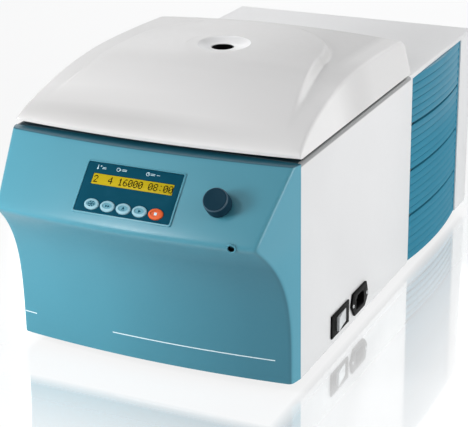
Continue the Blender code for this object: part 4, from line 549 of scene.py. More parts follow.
# %% Drawn, plated, cast and turned metals
def metal(name, tone, roughness, stretch=None, scale=220, depth=0.00002, dull="#8A8C8E"):
    made = Finish(name, Metallic=1.0)
    grain = made.noise(scale, 3, stretch)
    made.set(Base_Color=made.mix((made.noise(14, 3) - 0.4) * 0.9, shade(tone), shade(dull)))
    made.set(Roughness=roughness - 0.06 + grain * 0.16)
    made.bump(grain, depth, 0.35)
    return made.made


def turned_metal(name, tone, roughness, marks_per_metre=2600):
    """Rings of tool marks about the motor's axis."""
    made = Finish(name, Metallic=1.0)
    back = made.y - AXIS_Y
    marks = ((made.x * made.x + back * back).root() * marks_per_metre).wave() * 0.5 + 0.5
    made.set(Base_Color=made.mix(marks * 0.25, shade(tone), shade("#9EA1A4")))
    made.set(Roughness=roughness + marks * 0.08 + made.noise(90, 3) * 0.08)
    made.bump(marks, 0.000012, 0.4)
    return made.made


STEEL = metal("polished_steel_skin", "#C9CBCC", 0.24, (1, 1, 14))
ZINC = metal("zinc_plating", "#B4B8BC", 0.4, scale=60)
ALUMINIUM = turned_metal("turned_aluminium", "#C6C9CC", 0.28)
BOWL_STEEL = turned_metal("polished_bowl_steel", "#CFD1D2", 0.2)
CAST = metal("cast_aluminium", "#A9ACAF", 0.5, scale=500, depth=0.0001)
FIN = metal("fin_aluminium", "#BFC2C4", 0.35, (1, 1, 8), 400)
COPPER = metal("copper_tube_skin", "#B8693F", 0.3, scale=120, dull="#7A4A34")
print("finishes", len(bpy.data.materials))

# %% [markdown]
# ## Light, floor and camera
# A product shot wants an even white surround. The world lights softly and shows white to the
# camera. The floor is pale and keeps a shadow, and near the machine it is as smooth as acrylic
# sheet, so a mirror image stands under the base and fades out. Three small lamps stand at the
# left front, so that the teal falls from bright to dark across its width. Two of them are kept
# out of reflections, or their image would lie on the teal as a pale blot. A large lamp from the
# right lights the white side, and two behind lift the flat hood.

# %% The camera
LENS, SENSOR, CAMERA_SPOT = 116.86, 36, (0.7111, -1.5395, 0.7489)
YAW, PITCH, ROLL = (math.radians(angle) for angle in (25.56, 21.39, -0.89))


def stand_camera():
    """Look along yaw and pitch, then roll about that line."""
    data = bpy.data.cameras.new("studio_camera")
    data.lens, data.sensor_width, data.clip_end = LENS, SENSOR, 50
    camera = bpy.data.objects.new("studio_camera", data)
    bpy.context.scene.collection.objects.link(camera)
    ahead = Vector((-math.sin(YAW) * math.cos(PITCH), math.cos(YAW) * math.cos(PITCH),
                    -math.sin(PITCH)))
    right = ahead.cross(Vector((0, 0, 1))).normalized()
    up = right.cross(ahead)
    level_right = right * math.cos(ROLL) + up * math.sin(ROLL)
    level_up = up * math.cos(ROLL) - right * math.sin(ROLL)
    turn = Matrix((level_right, level_up, -ahead)).transposed().to_4x4()
    camera.matrix_world = Matrix.Translation(CAMERA_SPOT) @ turn
    bpy.context.scene.camera = camera
    return camera


print("camera at", tuple(round(v, 3) for v in stand_camera().matrix_world.translation))

# %% Lamps
def lamp(name, spot, aim, size, power, mirrored=True):
    """A soft rectangle of light at a spot, turned to what it aims at."""
    data = bpy.data.lights.new(name, "AREA")
    data.shape, data.size, data.size_y = "RECTANGLE", size[0], size[1]
    data.energy = power
    made = bpy.data.objects.new(name, data)
    bpy.context.scene.collection.objects.link(made)
    made.location = spot
    made.rotation_euler = (Vector(aim) - Vector(spot)).to_track_quat("-Z", "Y").to_euler()
    made.visible_glossy = mirrored


lamp("near_key", (-0.50, -0.80, 0.35), (-0.1, -0.28, 0.15), (0.25, 0.3), 4.9, mirrored=False)
lamp("high_key", (-0.45, -0.95, 0.85), (-0.1, -0.28, 0.2), (0.25, 0.25), 3.7)
lamp("far_key", (-1.05, -1.15, 0.75), (-0.05, -0.2, 0.15), (0.7, 0.6), 2, mirrored=False)
lamp("right_lamp", (1.8, -0.1, 0.6), (0.1, 0, 0.15), (0.9, 1.5), 22)
lamp("rear_lamp", (0.3, 1.9, 1.3), (0, 0.1, 0.22), (1.6, 0.8), 13)
lamp("rear_left_lamp", (-0.9, 1.5, 0.9), (0, 0.2, 0.25), (0.8, 0.6), 4.3)
print("lamps", len(bpy.data.lights))

# %% White where the camera looks, soft light for everything else
def seen_by(tree, *kinds):
    """1 on rays of these kinds, which should meet plain white, and 0 on all others."""
    rays = [Wire(tree, None).node("ShaderNodeLightPath", output=f"Is {kind} Ray")
            for kind in kinds]
    return sum(rays[1:], rays[0]).clamp()


def blend(share, first, second):
    """Two shaders, from the first at 0 to the second at 1."""
    return share.node("ShaderNodeMixShader", in0=share, in1=first, in2=second)


def white_world():
    bpy.context.scene.view_settings.view_transform = "Standard"
    world = bpy.data.worlds.new("white_studio")
    bpy.context.scene.world = world
    world.use_nodes = True
    tree = world.node_tree
    soft = tree.nodes["Background"]
    soft.inputs["Color"].default_value = (0.93, 0.95, 1, 1)
    soft.inputs["Strength"].default_value = 0.2
    seen = seen_by(tree, "Camera", "Glossy", "Transmission")
    white = seen.node("ShaderNodeBackground", Color=(1, 1, 1, 1))
    seen.plug(tree.nodes["World Output"], 0, blend(seen, Wire(tree, soft.outputs[0]), white))


white_world()
print("world", bpy.context.scene.world.name)

# %% A pale floor that mirrors only near the case
FLOOR_GLOW, MIRROR_REACH, MIRROR_START, MIRROR_SHARE = 0.8, 0.24, 0.02, 0.5


def beyond(place, edge):
    """How far a point lies past an edge of the case, and 0 under the case."""
    past = place.size() - edge
    return past.sum("MAXIMUM", past, 0.0)


def mirror_floor():
    bpy.ops.mesh.primitive_plane_add(size=14, location=(0, 3, 0))
    floor = fix_place(start("studio_floor"))
    made = Finish("pale_floor")
    made.set(Base_Color=made.mix(made.noise(3, 2) * 0.3, shade("#F6F7F8"), shade("#ECEEF0")))
    made.set(Roughness=0.12 + made.noise(30, 2) * 0.08)
    paper = blend(seen_by(made.tree, "Camera", "Glossy") * FLOOR_GLOW,
                  Wire(made.tree, made.shader.outputs[0]), made.node("ShaderNodeEmission"))
    side, ahead = beyond(made.x, HALF), beyond(made.y, REAR_Y)
    away = (side * side + ahead * ahead).root()
    near = away.rise(MIRROR_REACH, 0)
    clear = near * near * away.rise(0, MIRROR_START) * MIRROR_SHARE
    mirror = made.node("ShaderNodeBsdfAnisotropic", Color=(0.93, 0.97, 0.98, 1), Roughness=0.06)
    made.plug(made.tree.nodes["Material Output"], 0, blend(clear, paper, mirror))
    floor.data.materials.append(made.made)
    floor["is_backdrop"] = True


mirror_floor()
print("stage ready")

# %% [markdown]
# ## The teal front moulding
# On the real machine this is one thick moulding: a slope for the controls, a round nose and a
# hollowed lower front, bowed from side to side. It could be sculpted, but a moulding like this
# is really one level outline that changes with height. So the outline is drawn once, extruded
# upwards level by level, and after each extrusion its front points are drawn in and moved.

# %% Lines of the front
PANEL_TOP_Z, SLOPE_Y, SKIRT_Y, NOSE_CORNER_Y = 0.2495, -0.2549, -0.2590, -0.3185
BOW, NOSE_ROUND, HOLLOW_POWER, WALL = 0.0105, 0.008, 3.7, 0.0035
CORNER_ROUND, CORNER_STEPS, FACE_COLUMNS, FACE_SHARE = 0.005, 7, 30, 0.93
NOSE_Z = PANEL_TOP_Z - (SLOPE_Y - NOSE_CORNER_Y) * math.tan(TILT)


def corner_y(z):
    """Depth of the panel's corner at a height: hollow below, sloped above, round between."""
    sloped = SLOPE_Y - (PANEL_TOP_Z - z) / math.tan(TILT)
    share = max(z - BASE_Z, 0) / (NOSE_Z - BASE_Z)
    hollow = SKIRT_Y - (SKIRT_Y - NOSE_CORNER_Y) * share ** HOLLOW_POWER
    return (sloped + hollow + math.sqrt((sloped - hollow) ** 2 + NOSE_ROUND ** 2)) / 2


def corner_x(y):
    return HALF - (SPLIT_Y - y) * math.tan(TAPER)


def face_point(x, z):
    y = corner_y(z)
    return Vector((x, y - BOW * (1 - (x / corner_x(y)) ** 2), z))


def frame_at(x, z, step=0.0005):
    """A frame on the moulding's face: X to the right, Y up along it, Z straight out."""
    across = (face_point(x + step, z) - face_point(x - step, z)).normalized()
    up = face_point(x, z + step) - face_point(x, z - step)
    out = across.cross(up).normalized()
    turn = Matrix((across, out.cross(across), out)).transposed().to_4x4()
    return Matrix.Translation(face_point(x, z)) @ turn


def slope_frame(x, down):
    """The frame at a distance down the control slope."""
    return frame_at(x, PANEL_TOP_Z - down * math.sin(TILT))


PLATE_DOWN, KEYS_DOWN, WINDOW_DOWN = 0.0476, 0.0661, 0.0382
PLATE = slope_frame(0, PLATE_DOWN)
KNOB = slope_frame(0.0995, 0.0483)
PORT = frame_at(0.1231, NOSE_Z)
print("nose at", round(NOSE_Z, 4), "plate tilt", [round(v, 3) for v in PLATE.col[2]])

# %% A chain of edges drawn by extrusion
def chain(name, points):
    """Start from one corner and extrude it from point to point."""
    bpy.ops.mesh.primitive_plane_add(size=0.001, location=(0, 0, 0))
    piece = start(name)
    edit(piece, "VERT")
    bpy.ops.mesh.merge(type="CENTER")
    bpy.ops.transform.translate(value=tuple(points[0]))
    for near, far in zip(points, points[1:]):
        step = tuple(b - a for a, b in zip(near, far))
        bpy.ops.mesh.extrude_region_move(TRANSFORM_OT_translate={"value": step})
    return choose(piece)


def bend(first, corner, last, steps):
    """Points that round a corner off from the first to the last."""
    shares = [i / steps for i in range(steps + 1)]
    return [first * (1 - s) ** 2 + corner * (2 * s * (1 - s)) + last * s ** 2 for s in shares]


def outline_at(z):
    """The panel's level outline from the left rear corner round the front to the right one."""
    y = corner_y(z)
    half = corner_x(y)
    rear = Vector((-corner_x(SPLIT_Y - FIT), SPLIT_Y - FIT, z))
    corner = Vector((-half, y, z))
    inward = Vector((-half * 0.9, y - BOW * (1 - 0.9 ** 2), z))
    first = corner + (rear - corner).normalized() * CORNER_ROUND
    last = corner + (inward - corner).normalized() * CORNER_ROUND
    left = [rear] + bend(first, corner, last, CORNER_STEPS)
    middle = []
    for i in range(FACE_COLUMNS + 1):
        share = FACE_SHARE * (2 * i / FACE_COLUMNS - 1)
        middle.append(Vector((half * share, y - BOW * (1 - share ** 2), z)))
    return left + middle + [Vector((-p.x, p.y, p.z)) for p in reversed(left)]


# %% The moulding, level by level
BELOW_NOSE, ABOVE_NOSE = 26, 22
LEVELS = [BASE_Z + (NOSE_Z - BASE_Z) * (1 - (1 - i / BELOW_NOSE) ** 1.5)
          for i in range(BELOW_NOSE)]
LEVELS += [NOSE_Z + (PANEL_TOP_Z - NOSE_Z) * (i / ABOVE_NOSE) ** 1.35
           for i in range(ABOVE_NOSE + 1)]


def front_shell():
    shell = chain("front_moulding", outline_at(LEVELS[0]))
    for z0, z1 in zip(LEVELS, LEVELS[1:]):
        edit(shell, "EDGE", lambda a, b: min(a.z, b.z) > z0 - NEAR)
        bpy.ops.mesh.extrude_region_move(TRANSFORM_OT_translate={"value": (0, 0, z1 - z0)})
        edit(shell, "VERT", lambda p: p.z > z1 - NEAR and p.y < SPLIT_Y - 0.001)
        y0, y1 = corner_y(z0), corner_y(z1)
        bpy.ops.transform.resize(value=(corner_x(y1) / corner_x(y0), 1, 1),
                                 center_override=(0, 0, 0))
        bpy.ops.transform.translate(value=(0, y1 - y0, 0))
    edit(shell, "EDGE", lambda a, b: min(a.z, b.z) > PANEL_TOP_Z - NEAR)
    bpy.ops.mesh.extrude_region_move(TRANSFORM_OT_translate={"value": (0, 0, 0)})
    bpy.ops.transform.resize(value=(1, 0, 1), center_override=(0, SPLIT_Y - FIT, PANEL_TOP_Z))
    edit(shell)
    bpy.ops.mesh.remove_doubles(threshold=0.000005)
    bpy.ops.mesh.normals_make_consistent(inside=False)
    face_outwards(shell, Vector((0, -1, 0)))
    edit(shell, "EDGE", lambda a, b: min(a.z, b.z) > PANEL_TOP_Z - NEAR
         and max(a.y, b.y) < SPLIT_Y - 0.001)
    bpy.ops.mesh.bevel(offset=0.0012, segments=3, affect="EDGES")
    thicken(shell, WALL, even=True)
    edit(shell)
    bpy.ops.mesh.bisect(plane_co=(0, SPLIT_Y - FIT, 0), plane_no=(0, 1, 0), clear_outer=True,
                        use_fill=True)
    return choose(shell)


panel = front_shell()
print("front shell", len(panel.data.polygons), "faces")

# %% [markdown]
# ## Pocket, rim and holes in the moulding
# The control plate lies in a framed pocket. The frame could be pulled out of the slope, but it
# is easier to keep it level with the plate: a rounded block stands in the plate's own frame, is
# hollowed, and becomes part of the moulding. Holes are cut with plain tools and thrown away.

# %% Flat blocks with round corners, and drums
def slab(name, half, low, high, corner, place=None, edge=0, centre=(0, 0)):
    """A flat block with round upright corners and, if asked, a soft top edge."""
    piece = box(name, (centre[0] - half[0], centre[1] - half[1], low),
                (centre[0] + half[0], centre[1] + half[1], high), corner, 6, stands)
    if edge:
        edit(piece, "EDGE", lambda a, b: min(a.z, b.z) > high - NEAR)
        bpy.ops.mesh.bevel(offset=edge, segments=3, affect="EDGES")
        choose(piece)
    return put_in(piece, place) if place else piece


def drum(name, radius, low, high, place=None, sides=64, squash=1.0):
    bpy.ops.mesh.primitive_cylinder_add(vertices=sides, radius=radius, depth=high - low,
                                        location=(0, 0, (low + high) / 2))
    piece = start(name)
    piece.scale = (1, squash, 1)
    fix_place(piece)
    return put_in(piece, place) if place else piece


# %% Cut the moulding
PLATE_HALF, PLATE_CORNER, RIM = (0.0545, 0.02725), 0.0015, 0.0018
PLATE_TOP, PLATE_FLOOR = -0.0004, -0.0018


def wider(half, margin):
    return tuple(size + margin for size in half)


POCKET_HALF = wider(PLATE_HALF, FIT)
carve(panel,
      slab("pocket", POCKET_HALF, PLATE_FLOOR - FIT, CLEAR, PLATE_CORNER, PLATE),
      slab("opening", (0.0488, 0.0234), -0.0075, CLEAR, 0.001, PLATE, centre=(0, -0.0019)),
      drum("knob_hole", 0.0051, -0.0075, CLEAR, KNOB),
      drum("port_hole", 0.0045, -0.013, CLEAR, PORT),
      drum("port_seat", 0.0055, -0.0011, CLEAR, PORT))
rim = slab("rim", wider(POCKET_HALF, RIM), -0.0035, 0.0001, 0.0028, PLATE, 0.0005)
carve(rim, slab("rim_hollow", POCKET_HALF, -0.008, CLEAR, PLATE_CORNER, PLATE))
panel = unite(settle(panel, 28), settle(rim, 50))
hand_over(panel, "case", TEAL, "teal_moulding", "front_panel")
print("moulding", PIECES["front_moulding"], "faces")

# %% [markdown]
# ## Control plate, display and keys
# The plate is a dark printed sheet. The display under its window shows large dots on a lit
# amber ground. A lettering tool would give smooth figures, while a real display of this kind
# builds them from five by seven dots, so every dot is one small square.

# %% The dark plate
WINDOW, WINDOW_HALF = (0.0012, PLATE_DOWN - WINDOW_DOWN), (0.04605, 0.0058)
KEY_PITCH, KEY_SHIFT = 0.0183, 0.0006
KEY_WIDE, KEY_TALL = 0.0083, 0.0060
KEY_SPOTS = [((i - 2) * KEY_PITCH + KEY_SHIFT, PLATE_DOWN - KEYS_DOWN) for i in range(5)]


def oval(name, wide, tall, low, high, spot=(0, 0)):
    """A cylinder that is squashed to an oval of two half widths."""
    return drum(name, wide, low, high, at(*spot), 72, tall / wide)


plate = slab("control_sheet", PLATE_HALF, PLATE_FLOOR, PLATE_TOP, PLATE_CORNER, None, 0.00025)
tools = [slab("window_pocket", wider(WINDOW_HALF, FIT), PLATE_TOP - 0.0012, CLEAR, 0.0006,
              centre=WINDOW),
         slab("window_hole", (0.04335, 0.005), -0.006, CLEAR, 0.0004, centre=WINDOW)]
tools += [oval("key_hole", KEY_WIDE + FIT, KEY_TALL + FIT, -0.006, CLEAR, spot)
          for spot in KEY_SPOTS]
carve(plate, *tools)
put_in(plate, PLATE)
complete(plate, "case", NAVY, "navy_plate", "control_plate", angle=30)
print("plate", PIECES["control_sheet"], "faces")

# %% The display with its dots
FIGURES = {"0": "01110 10001 10011 10101 11001 10001 01110",
           "1": "00100 01100 00100 00100 00100 00100 01110",
           "2": "01110 10001 00001 00010 00100 01000 11111",
           "4": "00010 00110 01010 10010 11111 00010 00010",
           "6": "00110 01000 10000 11110 10001 10001 01110",
           "8": "01110 10001 10001 01110 10001 10001 01110",
           ":": "00000 00100 00000 00000 00000 00100 00000"}


DOT_WIDE, DOT_TALL, SIGN_PITCH = 0.00096, 0.0011, 0.00572


def dots(name, text, left, middle):
    """Squares for every lit dot of the signs; left and middle place the first sign."""
    bpy.ops.mesh.primitive_plane_add(size=0.001, location=(0, 0, 0))
    piece = start(name)
    edit(piece)
    bpy.ops.mesh.delete(type="VERT")
    for place, sign in enumerate(text):
        for row, bits in enumerate(FIGURES[sign].split() if sign != " " else []):
            for column, bit in enumerate(bits):
                if bit == "1":
                    spot = (left + place * SIGN_PITCH + (column - 2) * DOT_WIDE,
                            middle + (3 - row) * DOT_TALL, 0)
                    bpy.ops.mesh.primitive_plane_add(size=DOT_TALL, location=spot)
    return choose(piece)


window = slab("display_glass", WINDOW_HALF, PLATE_TOP - 0.0009, PLATE_TOP, 0.0005, PLATE,
              0.0002, centre=WINDOW)
complete(window, "case", DISPLAY, "display_amber", "display_window")
figures = dots("display_figures", "2  4 16000 08:00", WINDOW[0] - 0.0422, WINDOW[1])
put_in(figures, PLATE @ at(0, 0, PLATE_TOP + 0.00004))
complete(figures, "case", INK, "display_amber")
print("figures", PIECES["display_figures"], "dots")

# %% [markdown]
# ## Five oval keys and the printed signs
# A key is a short oval stem with a softly crowned cap. A scaled cylinder gives the oval, an
# inset of the top makes room for the crown, and a bevel rounds the shoulder. The four pale keys
# and the orange one are the same shape, so the first is modelled and the others are its copies.
# The print on them is a darker oval and plain signs that any such machine could bear: strips,
# rings and triangles a few hundredths of a millimetre thick, as a raised screen print stands.

# %% One key, copied four times
def key_shape(name):
    top = PLATE_TOP + 0.0010
    key = oval(name, KEY_WIDE, KEY_TALL, PLATE_FLOOR - 0.0015, top)
    edit(key, "FACE", lambda c, n: n.z > 0.9)
    bpy.ops.mesh.bevel(offset=0.0006, segments=3, affect="EDGES")
    edit(key, "FACE", lambda c, n: n.z > 0.9 and c.z > top - 0.0001)
    bpy.ops.mesh.inset(thickness=0.0026)
    bpy.ops.transform.translate(value=(0, 0, 0.0002))
    return choose(key)


def twin(piece, name):
    """A copy with a mesh of its own."""
    copy = piece.copy()
    copy.data = piece.data.copy()
    copy.name = copy.data.name = name
    bpy.context.scene.collection.objects.link(copy)
    return copy


KEYS = (("key_cooling", "cooling_key", PALE_KEY, "pale_key"),
        ("key_first", "first_key", PALE_KEY, "pale_key"),
        ("key_second", "second_key", PALE_KEY, "pale_key"),
        ("key_third", "third_key", PALE_KEY, "pale_key"),
        ("key_stop", "stop_key", STOP_KEY, "stop_key"))
pattern = key_shape("key_pattern")
for (node, body, finish, slot), (x, y) in zip(KEYS, KEY_SPOTS):
    cap = twin(pattern, node + "_cap")
    put_in(cap, PLATE @ at(x, y))
    complete(cap, body, finish, slot, node, angle=40)
bpy.data.objects.remove(pattern, do_unlink=True)
print("keys", [name for name in PIECES if name.startswith("key_")])

# %% Bars, rings and triangles for the signs
FACE_PRINT, PRINT_HIGH = 0.00004, 0.00006


def bar(x, y, long, thick=0.0005, turn=0):
    """A thin strip of print about its own middle, turned by so many degrees."""
    strip = box("bar", (-long / 2, -thick / 2, 0), (long / 2, thick / 2, PRINT_HIGH))
    return put_in(strip, at(x, y) @ turned_by(turn))


def ring_sign(x, y, radius, thick=0.00045):
    band = turned("band", [(radius - thick, 0), (radius, 0), (radius, PRINT_HIGH),
                           (radius - thick, PRINT_HIGH)], (0, 0), 32, closed=True)
    return put_in(band, at(x, y))


def triangle(x, y, radius, turn=0):
    return drum("tip", radius, 0, PRINT_HIGH, at(x, y) @ turned_by(turn), 3)


def disc(x, y, radius, high=PRINT_HIGH):
    return drum("disc", radius, 0, high, at(x, y), 24)


def signs(name, body, finish, slot, height, *shapes):
    """Join the strips of one sign, lay them on the plate's frame and hand them over."""
    print_layer = unite(*shapes)
    print_layer.name = print_layer.data.name = name
    put_in(print_layer, PLATE @ at(0, 0, height))
    return complete(print_layer, body, finish, slot)


# %% Signs on the caps: frost star, fast run, lid open, start and stop
CAP = PLATE_TOP + 0.00118
x1, x2, x3, x4, x5 = (x for x, y in KEY_SPOTS)
y = KEY_SPOTS[0][1]
star = [bar(x1, y, 0.0086, 0.0007, turn) for turn in (0, 60, 120)]
for turn in range(0, 360, 60):
    c, d = math.cos(math.radians(turn)), math.sin(math.radians(turn))
    star += [bar(x1 + 0.0028 * c - 0.0007 * side * d, y + 0.0028 * d + 0.0007 * side * c, 0.0020,
                 0.0006, turn + 40 * side) for side in (-1, 1)]
for (node, body, finish, slot), spot in zip(KEYS[:4], KEY_SPOTS):
    face = oval("face", 0.0064, 0.0064 * KEY_TALL / KEY_WIDE, 0, FACE_PRINT, spot)
    signs(node + "_face", body, KEY_FACE, slot, CAP, face)
CAP += FACE_PRINT
signs("frost_sign", "cooling_key", NAVY, "pale_key", CAP, *star)
signs("fast_sign", "first_key", NAVY, "pale_key", CAP,
      triangle(x2 - 0.0012, y, 0.0017, -90), triangle(x2 + 0.0014, y, 0.0017, -90))
signs("open_sign", "second_key", NAVY, "pale_key", CAP,
      triangle(x3, y + 0.0006, 0.0019), bar(x3, y - 0.0013, 0.0036, 0.0006))
signs("start_sign", "third_key", NAVY, "pale_key", CAP, triangle(x4, y, 0.0021, -90))
signs("stop_sign", "stop_key", PRINT, "stop_key", CAP, bar(x5, y, 0.0030, 0.0030))
for name, body, spot in (("start_end_dots", "third_key", x4), ("stop_end_dots", "stop_key", x5)):
    ends = [disc(spot + side * 0.0062, y, 0.0008, 0.00008) for side in (-1, 1)]
    signs(name, body, BLACK, "black_plastic", CAP, *ends)
print("signs on the caps done")

# %% Signs above the display: temperature, turning and time
TOP_Y = 0.0223
thermometer = [bar(-0.0425, TOP_Y + 0.0004, 0.0034, 0.0007, 90),
               ring_sign(-0.0392, TOP_Y + 0.0012, 0.0008), disc(-0.0425, TOP_Y - 0.0016, 0.0009),
               bar(-0.0352, TOP_Y, 0.0040), bar(-0.0352, TOP_Y - 0.0013, 0.0040)]
turning = [ring_sign(-0.0190, TOP_Y, 0.0021), triangle(-0.0169, TOP_Y, 0.0011, 180),
           bar(-0.0120, TOP_Y + 0.0007, 0.0052), bar(-0.0120, TOP_Y - 0.0007, 0.0052)]
clock = [ring_sign(0.0150, TOP_Y, 0.0021), bar(0.0150, TOP_Y + 0.0008, 0.0017, 0.0004, 90),
         bar(0.0155, TOP_Y, 0.0013, 0.0004), bar(0.0205, TOP_Y + 0.0007, 0.0048),
         bar(0.0205, TOP_Y - 0.0007, 0.0048), bar(0.0268, TOP_Y, 0.0034)]
signs("plate_signs", "case", PRINT, "navy_plate", PLATE_TOP, *thermometer, *turning, *clock)
print("signs on the plate done")

# %% [markdown]
# ## Selector knob and release port
# Both are turned parts, so half of their section is drawn as a chain and spun. The knob has a
# chamfer between its dark side and its slightly dished face, painted paler as a highlight; that
# ring is a separate spin, since it has another finish. A thin black sleeve lines the port as
# painted shade that darkens the hole.

# %% Turned parts in a tilted frame
def turned_in(name, profile, place, steps=72, closed=False):
    piece = turned(name, profile, (0, 0), steps, closed)
    return put_in(piece, place)


LIFT, TOP, KNOB_R = 0.001, 0.016, 0.0135
knob = turned_in("knob_body", [
    (0, TOP - 0.0006), (0.0075, TOP - 0.0005), (0.0101, TOP - 0.0001), (0.0108, TOP),
    (0.0114, TOP - 0.0001), (0.0118, TOP - 0.0006), (0.0128, TOP - 0.0016), (0.0131, TOP - 0.0026),
    (0.01345, LIFT + 0.0045), (KNOB_R, LIFT + 0.0016), (KNOB_R, LIFT + 0.0003), (0.0132, LIFT),
    (0.003, LIFT), (0.003, LIFT - 0.009), (0, LIFT - 0.009)], KNOB)
complete(knob, "selector", SLATE, "slate_knob", "knob", angle=30)
# Painted highlight: a paler ring on the knob's chamfer.
ring = turned_in("knob_ring", [
    (0.01165, TOP - 0.0007), (0.01195, TOP - 0.00035), (0.01285, TOP - 0.00135),
    (0.0129, TOP - 0.0019), (0.0126, TOP - 0.0018)], KNOB, closed=True)
complete(ring, "selector", SLATE_EDGE, "slate_knob", angle=40)
bush = turned_in("port_bush", [
    (0.0042, -0.009), (0.0042, -0.0008), (0.0052, -0.0008), (0.0052, 0.0001), (0.0050, 0.0005),
    (0.0046, 0.0008), (0.0040, 0.0008), (0.0036, 0.0006), (0.0034, 0.0002), (0.0033, -0.001),
    (0.0033, -0.009)], PORT, 48, closed=True)
complete(bush, "case", BUSH, "grey_plastic", "release_port_bush", angle=40)
# Painted shade: a black sleeve inside the port hole darkens it.
shade_sleeve = turned_in("port_lining", [
    (0.00325, 0.0001), (0.00325, -0.0088), (0.0029, -0.0088), (0.0029, -0.0002)], PORT, 40,
    closed=True)
complete(shade_sleeve, "case", BLACK, "black_plastic", angle=40)
print("knob and port done")

# %% [markdown]
# ## The arched cover
# The cover is one pressed skin: an arch from the front lip to the crest, a gentle crown across,
# and a round field over the rotor that opens and fades towards the front. No chain of extrusions
# gives a field that fades into an arch, so here the other way is better: a fine grid is added,
# and its points are put where the sums of the form say, as a sculptor would pull them.

# %% The sums of the cover's form
LIP, SHOULDER, LEAN, CREST_Y, REAR_ROUND = 0.003, 0.043, 0.009, -0.050, 0.013
CROWN, FIELD_R, FIELD_RISE, FIELD_EDGE = 0.0075, 0.120, 0.0085, 0.0072
COVER_COLUMNS, COVER_LINES, FLANK_ROUND, COVER_SHEET = 112, 112, 0.0035, 0.0028


def ease(t):
    t = min(max(t, 0), 1)
    return t * t * (3 - 2 * t)


def shoulder(y):
    """Height of the cover's long edges above the seam."""
    if y < CREST_Y:
        u = min((CREST_Y - y) / (CREST_Y - LID_FRONT), 1)
        return LIP + (SHOULDER - LIP) * (1 - u * u) ** 0.75
    return SHOULDER - 0.004 * ((y - CREST_Y) / (LID_REAR - CREST_Y)) ** 2


def field(x, y):
    """The round field over the rotor, which opens and fades to the front."""
    ahead, behind = max(AXIS_Y - y, 0), max(y - AXIS_Y, 0)
    reach = math.hypot(x, behind) - 0.17 * ahead
    return FIELD_RISE * ease((FIELD_R - reach) / FIELD_EDGE) * ease(1 - (ahead - 0.030) / 0.115)


def cover_top(x, y):
    across = 1 - min(abs(x) / HALF, 1) ** 2
    return SEAM_Z + shoulder(y) * (1 + CROWN * across / SHOULDER) + field(x, y)


def denser(share, pull=0.12, place=0.7):
    """Spread of the columns, which stand closest where the field's edge runs."""
    return ((share + pull * math.sin(math.pi * share / place))
            / (1 + pull * math.sin(math.pi / place)))


def cover_row(y, drop):
    """One row from seam to seam: up the flank, round its edge and over the top."""
    half = HALF - LEAN * shoulder(y) / SHOULDER
    pull = BOW * (1 - (y - LID_FRONT) / (LID_REAR - LID_FRONT)) ** 2

    def top(share):
        z = max(cover_top(half * share, y) - drop, SEAM_Z + 0.0004)
        return Vector((half * share, y - pull * (1 - share ** 2), z))

    edge = top(1)
    seam = Vector((HALF, y, SEAM_Z))
    radius = min(FLANK_ROUND, (edge - seam).length * 0.45)
    low = edge + (seam - edge).normalized() * radius
    share = 1 - radius / half
    side = [seam] + bend(low, edge, top(share), 6)
    middle = [top(share * denser(1 - 2 * i / COVER_COLUMNS)) for i in range(1, COVER_COLUMNS)]
    left = [Vector((-p.x, p.y, p.z)) for p in reversed(side)]
    return side + middle + left


print("crest", round(cover_top(0, CREST_Y), 4), "at the hub", round(cover_top(0, AXIS_Y), 4))

# %% The skin
def cover_rows():
    """Rows from the lip to the rear; a drop of 1 m puts the first and last on the seam."""
    flat = LID_REAR - REAR_ROUND
    rows = [cover_row(LID_FRONT, 1)]
    for i in range(COVER_LINES + 1):
        rows.append(cover_row(LID_FRONT + (flat - LID_FRONT) * (i / COVER_LINES) ** 1.15, 0))
    for i in range(1, 9):
        angle = math.pi / 2 * i / 8
        rows.append(cover_row(flat + REAR_ROUND * math.sin(angle),
                              REAR_ROUND * (1 - math.cos(angle))))
    rows.append(cover_row(LID_REAR, 1))
    for row in (rows[0], rows[-1]):
        for point in row:
            point.z = SEAM_Z
    return rows


def cover_skin():
    rows = cover_rows()
    wide = len(rows[0])
    bpy.ops.mesh.primitive_grid_add(x_subdivisions=wide - 1, y_subdivisions=len(rows) - 1, size=1)
    skin = start("cover_skin")
    for j, row in enumerate(rows):
        for i, point in enumerate(row):
            skin.data.vertices[j * wide + wide - 1 - i].co = point
    edit(skin)
    bpy.ops.mesh.remove_doubles(threshold=0.00003)
    face_outwards(skin, Vector((0, 0, 1)))
    return thicken(skin, COVER_SHEET, even=True)


cover = cover_skin()
print("cover", len(cover.data.polygons), "faces", [round(v, 4) for v in cover.dimensions])

# %% [markdown]
# ## Hub dish and sight tube
# A speed check is made through a dark tube in the middle of the cover. Round it the skin is
# pressed down to a shallow dish. The cover falls to the front, so the dish has a clear rim behind
# and almost none in front: its surface is whichever is lower, the cover or a cone. Both are known
# sums, so a flat spun disc is laid in a round hole and its points are dropped onto that surface.

# %% Press the dish and fit the tube
DISH_R, DISH_FLOOR, DISH_SHEET, SIGHT_R = 0.042, 0.3092, 0.0026, 0.0125


def dish_top(x, y):
    """The lower of the cover and the cone of the dish, with a soft edge between them."""
    cover_z = cover_top(x, y)
    reach = min(max((math.hypot(x, y - AXIS_Y) - 0.0165) / 0.0175, 0), 1.5)
    cone = DISH_FLOOR + 0.0044 * reach ** 1.5
    return (cover_z + cone - math.hypot(cover_z - cone, 0.0005)) / 2


def hub_dish():
    inner = 0.0155
    rings = [SIGHT_R + FIT + 0.0008 * i for i in range(3)]
    rings += [inner + (DISH_R - inner) * i / 26 for i in range(27)]
    disc = turned("hub_dish", [(radius, 0.3) for radius in rings], steps=128)
    for point in disc.data.vertices:
        point.co.z = dish_top(point.co.x, point.co.y)
    face_outwards(disc, Vector((0, 0, 1)))
    return thicken(disc, DISH_SHEET)


